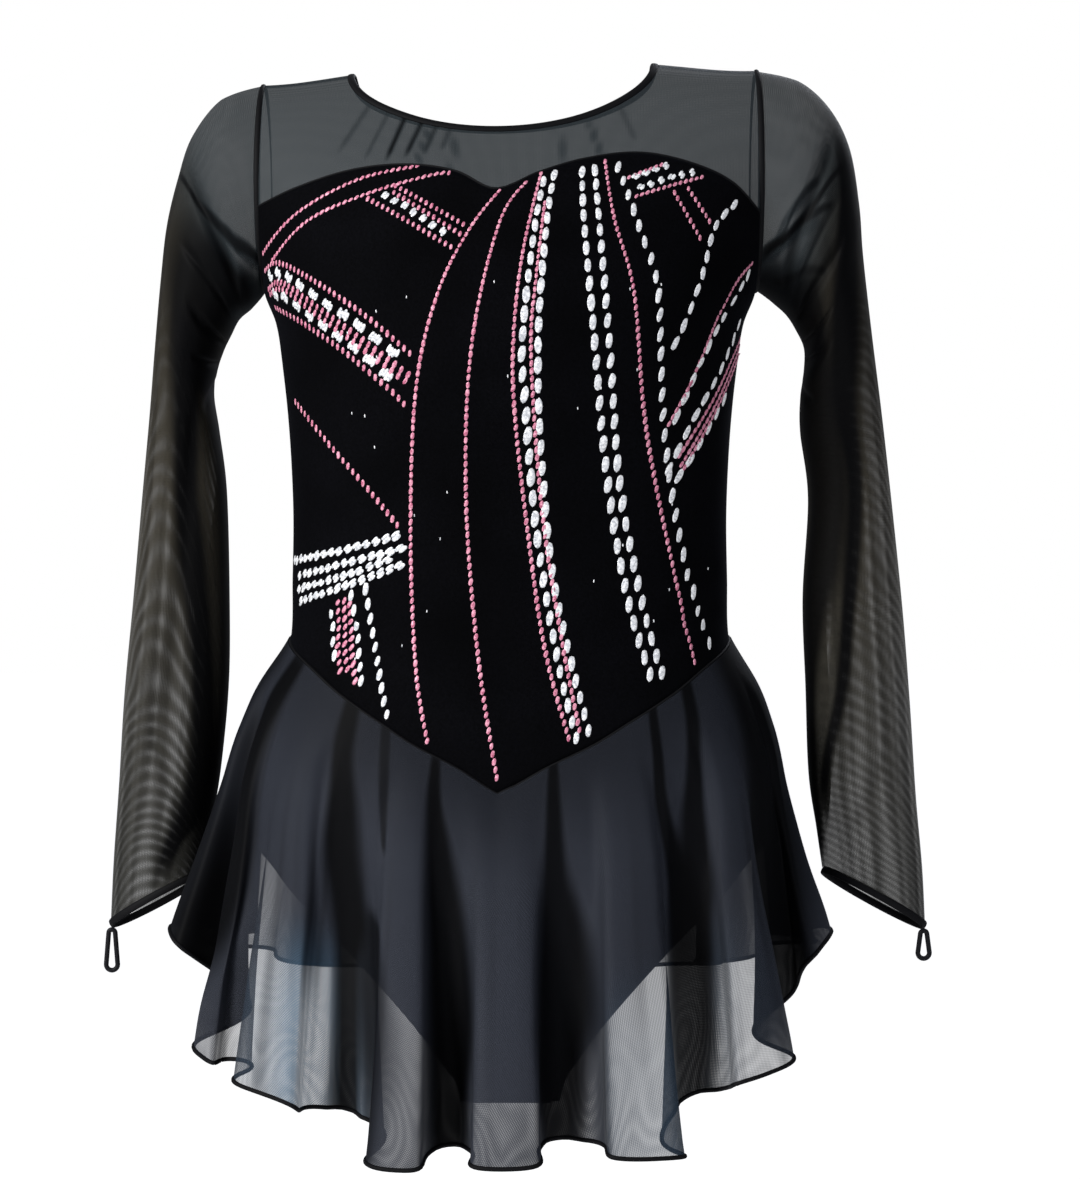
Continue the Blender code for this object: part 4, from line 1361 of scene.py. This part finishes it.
def sleeve_ring(side, ring, count):
    points = [sleeve_point(side, ring, 360 * i / count) for i in range(count)]
    middle = sum(points, Vector()) / count
    outs = []
    for i, point in enumerate(points):
        run = (points[(i + 1) % count] - points[i - 1]).normalized()
        out = point - middle
        outs.append((out - run * out.dot(run)).normalized())
    return points, outs


cuff_bands = {}
for side, label in ((LEFT, "left"), (RIGHT, "right")):
    points, outs = sleeve_ring(side, RINGS - CUFF_WIDTH / 2 / CUFF_RING_LENGTH, CUFF_STEPS)
    cuff_bands[label] = band(f"cuff_{label}_band", points, outs, CUFF_BAND, CUFF_THICK, BINDING)
    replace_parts(cuff_bands[label], f"cuff_{label}")

# %% [markdown]
# A thin elastic loop hangs from the long point of each cuff and goes over the middle finger. It is
# a drop-shaped ring: a small half circle over a larger one.

# %% Finger loops
LOOP_HEIGHT = {LEFT: 28, RIGHT: 20}
LOOP_TOP_RADIUS = 2
LOOP_LOW_RADIUS = 3.5
LOOP_THICK = 3.2
LOOP_SHOWN = 3
LOOP_ARC_POINTS = 12
LOOP_ANGLE = 20


def half_circle(middle, radius, start):
    turns = [math.radians(start + 180 * i / LOOP_ARC_POINTS) for i in range(LOOP_ARC_POINTS + 1)]
    return [middle + Vector((math.cos(turn), 0, math.sin(turn))) * radius for turn in turns]


loops = {}
for side, label in ((LEFT, "left"), (RIGHT, "right")):
    top = sleeve_point(side, RINGS, LOOP_ANGLE)
    upper = top - Vector((0, 0, GAP + LOOP_THICK / 2 + LOOP_TOP_RADIUS))
    lower = top - Vector((0, 0, GAP + LOOP_HEIGHT[side] - LOOP_THICK / 2 - LOOP_LOW_RADIUS))
    points = half_circle(upper, LOOP_TOP_RADIUS, 0) + half_circle(lower, LOOP_LOW_RADIUS, 180)
    outs = [Vector((0, 1, 0))] * len(points)
    loops[label] = band(f"loop_{label}_elastic", points, outs, LOOP_SHOWN, LOOP_SHOWN, ELASTIC)
    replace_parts(loops[label], f"loop_{label}")

# %% [markdown]
# Where net meets net, the two edges are overlocked together and show as a dark line through the sheer
# cloth. The seams round the armholes are the strongest, and wider in front, where both edges are turned
# towards the sleeve. The skirt's hem is rolled and overcast with black thread. The velvet's waist seam
# and its two top edges are small welts. The leg lines of the brief have none.

# %% Seams and hem
ARMHOLE_STEPS = 96
ARMHOLE_SEAM = 2.5
ARMHOLE_SEAM_SWELL = 1.5
ARMHOLE_SEAM_THICK = 2.4
HEM_STEPS = 720
EDGE_STEPS = 160
SHOULDER_STEPS = 20
SHOULDER_SEAM = 3, 1.6
HEM_ROLL = 2.6, 2.6
WAIST_WELT = 1.6, 2.0
TOP_WELT = 1.3, 1.3


def outward(points):
    return [Vector((point.x, point.y, 0)).normalized() for point in points]


for side, label in ((LEFT, "left"), (RIGHT, "right")):
    points, outs = sleeve_ring(side, 0, ARMHOLE_STEPS)
    turns = [2 * math.pi * i / ARMHOLE_STEPS for i in range(ARMHOLE_STEPS)]
    widths = [ARMHOLE_SEAM + ARMHOLE_SEAM_SWELL * math.sin(turn) for turn in turns]
    band(f"armhole_seam_{label}", points, outs, widths, ARMHOLE_SEAM_THICK, BINDING)

    corner = NECK_LEFT if side == LEFT else NECK_RIGHT
    edge = [corner + (side * ARMHOLE_X - corner) * share for share in shares(SHOULDER_STEPS)]
    points = [torso_at(x, 0, FRONT) + Vector((0, GAP, 0)) for x in edge]
    outs = [Vector((0, 0, 1))] * len(points)
    band(f"shoulder_seam_{label}", points, outs, *SHOULDER_SEAM, BINDING, closed=False)

hem_angles = [-180 + 360 * i / HEM_STEPS for i in range(HEM_STEPS)]
hem_places = [skirt_place(angle, 1) for angle in hem_angles]
hem_points = [place for place, _, _ in hem_places]
hem_outs = [out for _, out, _ in hem_places]
band("hem_roll", hem_points, hem_outs, *HEM_ROLL, BINDING)


def torso_line(u_list, height, side):
    points = []
    for u in u_list:
        share, z = column_share(drawn_to_point(u, side)), height(u)
        points.append(torso_at(panel_half_width(z, side) * share, z, side))
    return points


ends = [2 * share - 1 for share in shares(EDGE_STEPS)]
waist_points = torso_line(ends[:-1], lambda u: waist_edge(drawn_to_point(u, FRONT), FRONT), FRONT)
waist_points += torso_line(ends[:0:-1], lambda u: waist_edge(u, BACK), BACK)
band("waist_seam", waist_points, outward(waist_points), *WAIST_WELT, BINDING)

top_points = torso_line(
    ends, lambda u: yoke_bottom(column_share(drawn_to_point(u, FRONT)), FRONT), FRONT
)
band("sweetheart_edge", top_points, outward(top_points), *TOP_WELT, BINDING, closed=False)

back_points = torso_line(ends, lambda u: yoke_bottom(column_share(u), BACK), BACK)
band("back_top_edge", back_points, outward(back_points), *TOP_WELT, BINDING, closed=False)

# %% [markdown]
# The glitter dashes run in long curves from the top edge to the waist, crossed by short bundles. Each
# row is written down as a kind of dash and a few points, read off the photograph's front, and a
# smooth curve goes through them. The dashes stand nearly upright whatever way their row runs.

# %% Rows of dashes
# Kind of dash: width and length of a stroke, pitch in mm, strokes side by side, least lean in degrees
DASHES = {
    "pink": (2.2, 4.2, 4.5, 1, 14),
    "pair": (2.4, 4.8, 5.0, 1, 34),
    "long": (4.3, 9.8, 11.8, 1, 6),
    "slim": (3.8, 9.2, 11.8, 1, 10),
    "short": (3.7, 7.8, 9.4, 1, 10),
    "dot": (2.4, 5.8, 13.2, 4, 38),
    "close": (2.5, 5.8, 6.4, 2, 52),
    "small": (2.6, 5.4, 8.4, 2, 38),
}

# The cloth is stretched most over the middle. Height, size of the silver dashes, size of the pink ones
STRETCHED = (
    (-60, 0.78, 0.8), (-130, 0.9, 0.86), (-200, 1.0, 1.0), (-280, 1.0, 1.0), (-340, 0.88, 1.0),
    (-400, 0.78, 1.0),
)

# Kind, then points as x and height
ROWS = (
    ("pink", (-145, -116), (-122, -94), (-88, -77), (-52, -70)),
    ("pink", (-139, -122), (-116, -100), (-84, -87), (-44, -76), (-32, -75)),
    ("pink", (-66, -81), (-23, -108)),
    ("pink", (-67, -85), (-26, -113)),
    ("small", (-73, -85), (-32, -114)),
    ("pink", (-82, -88), (-32, -120)),
    ("pink", (-4, -85), (-21, -108), (-39, -145), (-52, -198), (-56, -278), (-53, -357), (-46, -400)),
    ("pink", (11, -80), (-5, -106), (-21, -180), (-24, -265), (-17, -353), (-6, -423)),
    ("pink", (-144, -126), (-135, -123), (-118, -132), (-82, -157), (-54, -181)),
    ("dot", (-142, -131), (-132, -130), (-105, -149), (-82, -165), (-61, -182)),
    ("pair", (-142, -137), (-132, -135), (-110, -151), (-56, -192)),
    ("pair", (-141, -140), (-131, -139), (-111, -155), (-57, -196)),
    ("dot", (-139, -141), (-131, -143), (-111, -159), (-81, -181), (-61, -198)),
    ("pink", (-138, -147), (-99, -174), (-69, -198), (-58, -209)),
    ("pink", (-126, -202), (-103, -230), (-81, -255), (-63, -277)),
    ("close", (-128, -296), (-95, -290), (-59, -281)),
    ("close", (-125, -305), (-92, -297), (-59, -289)),
    ("close", (-125, -313), (-92, -304), (-69, -296)),
    ("close", (-124, -320), (-92, -310), (-58, -298)),
    ("short", (-104, -322), (-102, -343), (-100, -356)),
    ("pair", (-99, -318), (-99, -343), (-97, -361)),
    ("pair", (-95, -317), (-95, -343), (-92, -363)),
    ("pair", (-92, -319), (-91, -343), (-88, -366)),
    ("short", (-92, -312), (-88, -334), (-84, -372)),
    ("short", (-83, -308), (-80, -327), (-76, -349), (-72, -373), (-69, -386)),
    ("pink", (19, -74), (8, -125), (3, -174), (4, -217), (12, -288), (21, -348), (35, -400)),
    ("long", (21, -76), (15, -109), (8, -174), (10, -211), (16, -280), (28, -353), (39, -399)),
    ("pink", (21, -92), (16, -136), (13, -180), (19, -266), (30, -339), (41, -396)),
    ("long", (27, -72), (22, -104), (17, -172), (19, -242), (27, -315), (46, -395)),
    ("long", (42, -70), (43, -106), (49, -176), (56, -247), (68, -317), (84, -371)),
    ("long", (49, -69), (52, -111), (58, -184), (64, -256), (78, -326), (90, -367)),
    ("pink", (55, -67), (60, -102), (71, -144), (77, -209), (86, -260), (108, -357)),
    ("slim", (61, -67), (75, -109), (85, -144), (89, -220), (100, -288), (118, -348)),
    ("pink", (67, -79), (89, -69)),
    ("small", (69, -79), (93, -69)),
    ("small", (72, -85), (95, -76), (108, -72)),
    ("pink", (71, -90), (95, -81), (114, -74)),
    ("pink", (94, -84), (111, -114)),
    ("pink", (102, -81), (116, -102)),
    ("slim", (134, -86), (119, -104), (111, -133), (99, -166), (92, -179)),
    ("pink", (143, -121), (129, -140), (108, -188), (91, -220)),
    ("slim", (142, -125), (128, -150), (108, -189), (93, -221)),
    ("slim", (137, -152), (125, -182), (106, -216), (92, -244)),
    ("pink", (137, -164), (119, -202), (97, -238)),
    ("pink", (137, -168), (121, -204), (99, -242)),
    ("pink", (137, -172), (122, -206), (100, -245)),
    ("slim", (128, -198), (108, -233), (93, -255)),
)

PINK_KINDS = "pink", "pair"


def through(knots, steps=24):
    """Points of a smooth curve through a few knots, each bent towards its neighbours."""
    line = []
    last = len(knots) - 1
    for i in range(last):
        before, start, end, after = (Vector(knots[min(max(i + k, 0), last)]) for k in (-1, 0, 1, 2))
        for t in shares(steps)[: steps + (i == last - 1)]:
            line.append(
                start
                + ((end - before) * t + (2 * before - 5 * start + 4 * end - after) * t * t) / 2
                + (3 * start - before - 3 * end + after) * t**3 / 2
            )
    return line


# %% [markdown]
# Along each curve the real length on the cloth is measured, and the dashes follow one another on it. They
# grow a little where the cloth is stretched, over the middle of the body. A stroke is
# made once, from a circle with its sides squared a little, extruded and inset to a flat top, and then
# copied, turned, stretched and made a little uneven, as glue and flakes are. The broad dots are a few
# strokes side by side. All the silver ones are one piece and all the pink ones another. A few
# lost flakes lie between the rows, scattered at random and not where the photograph has them.

# %% Dashes on the cloth
LEAN_MOST = 42
DASH_THICK = 0.45
DASH_SUNK = 0.15
DASH_SPREAD = 0.09
DASH_TURN = 6
DASH_UNEVEN = 0.08
DASH_SIDES = 12
DASH_SQUARE = 0.75
DASH_TAPER = 1.06
TOP_INSET = 0.16
TOP_RISE = 0.7
STROKE_STEP = 0.8
STROKE_SHIFT = 0.16
LOST_FLAKES = 28
LOST_SIZE = 0.7, 1.7, 0
LOST_ACROSS = 118
LOST_HEIGHTS = -370, -90
draw = random.Random(8)


def dash_shape():
    """A flat stroke with soft edges, 1 in half its width and length, from 0 to 1 in height."""
    form = bmesh.new()
    bmesh.ops.create_circle(form, cap_ends=True, radius=1, segments=DASH_SIDES)
    for vert in form.verts:
        for axis, power in ((0, DASH_SQUARE), (1, DASH_TAPER)):
            vert.co[axis] = math.copysign(abs(vert.co[axis]) ** power, vert.co[axis])
    risen = bmesh.ops.extrude_face_region(form, geom=form.faces[:])
    verts = [part for part in risen["geom"] if isinstance(part, bmesh.types.BMVert)]
    bmesh.ops.translate(form, verts=verts, vec=(0, 0, TOP_RISE))
    top = [part for part in risen["geom"] if isinstance(part, bmesh.types.BMFace)]
    bmesh.ops.inset_region(form, faces=top, thickness=TOP_INSET, depth=1 - TOP_RISE)
    bmesh.ops.recalc_face_normals(form, faces=form.faces[:])
    return as_mesh(form, "dash_shape")


def dash_matrices(spot, direction, wide, long, least, strokes=1):
    """Turns the strokes of a dash to their place on the velvet, leaning towards the row's direction."""
    normal = torso_normal(spot.x, spot.y, FRONT)
    up = (Vector((0, 0, 1)) - normal * normal.z).normalized()
    right = normal.cross(up) * -1
    if direction.y < 0:
        direction = -direction
    lean = math.degrees(math.atan2(direction.x, direction.y))
    lean = min(max(lean, least), max(LEAN_MOST, least)) + draw.uniform(-DASH_TURN, DASH_TURN)
    turn = math.radians(lean)
    lengthwise = up * math.cos(turn) + right * math.sin(turn)
    beside = right * math.cos(turn) - up * math.sin(turn)
    centre = velvet_at(spot.x, spot.y, FRONT) - normal * DASH_SUNK
    matrices = []
    for i in range(strokes):
        size = 1 + draw.uniform(-DASH_SPREAD, DASH_SPREAD)
        axes = (beside * wide / 2 * size, lengthwise * long / 2 * size, normal * DASH_THICK)
        turned = Matrix([list(axis) for axis in axes]).transposed().to_4x4()
        aside = (i - (strokes - 1) / 2) * wide * STROKE_STEP
        shift = draw.uniform(-STROKE_SHIFT, STROKE_SHIFT) * long if strokes > 1 else 0
        turned.translation = centre + beside * aside + lengthwise * shift
        matrices.append(Matrix.Scale(MM, 4) @ turned)
    return matrices


def set_dash(form, shape, places):
    """Copies the strokes of a dash into the piece, with the outline pushed in and out a little."""
    for place in places:
        first = len(form.verts)
        form.from_mesh(shape)
        form.verts.ensure_lookup_table()
        copied = form.verts[first:]
        for vert in copied:
            push = 1 + draw.uniform(-DASH_UNEVEN, DASH_UNEVEN)
            vert.co.x *= push
            vert.co.y *= push
        bmesh.ops.transform(form, matrix=place, verts=copied)


def step_on_cloth(a, b):
    return (torso_at(b.x, b.y, FRONT) - torso_at(a.x, a.y, FRONT)).length


def dashes(name, kinds, finish, lost=0):
    material, slot = finish
    form = bmesh.new()
    count = 0
    for kind, *knots in ROWS:
        if kind not in kinds:
            continue
        wide, long, pitch, strokes, least = DASHES[kind]
        column = 2 if kind in PINK_KINDS else 1
        line = through(knots)
        walked, due = 0, pitch / 2
        for a, b in zip(line, line[1:]):
            step = step_on_cloth(a, b)
            while walked + step > due:
                spot = a.lerp(b, (due - walked) / step)
                size = along(STRETCHED, spot.y, column)
                places = dash_matrices(spot, b - a, wide * size, long * size, least, strokes)
                set_dash(form, shape, places)
                count += 1
                due += pitch * size
            walked += step
    for _ in range(lost):
        spot = Vector((draw.uniform(-LOST_ACROSS, LOST_ACROSS), draw.uniform(*LOST_HEIGHTS)))
        set_dash(form, shape, dash_matrices(spot, Vector((0, 1)), *LOST_SIZE))
    mesh = as_mesh(form, name)
    print(name, count, "dashes,", len(mesh.polygons), "faces")
    return show(name, mesh, material)


shape = dash_shape()
silver_kinds = ("long", "slim", "short", "dot", "close", "small")
dashes("dashes_silver", silver_kinds, (silver_glitter, "silver_glitter"), LOST_FLAKES)
dashes("dashes_pink", PINK_KINDS, (pink_glitter, "pink_glitter"))
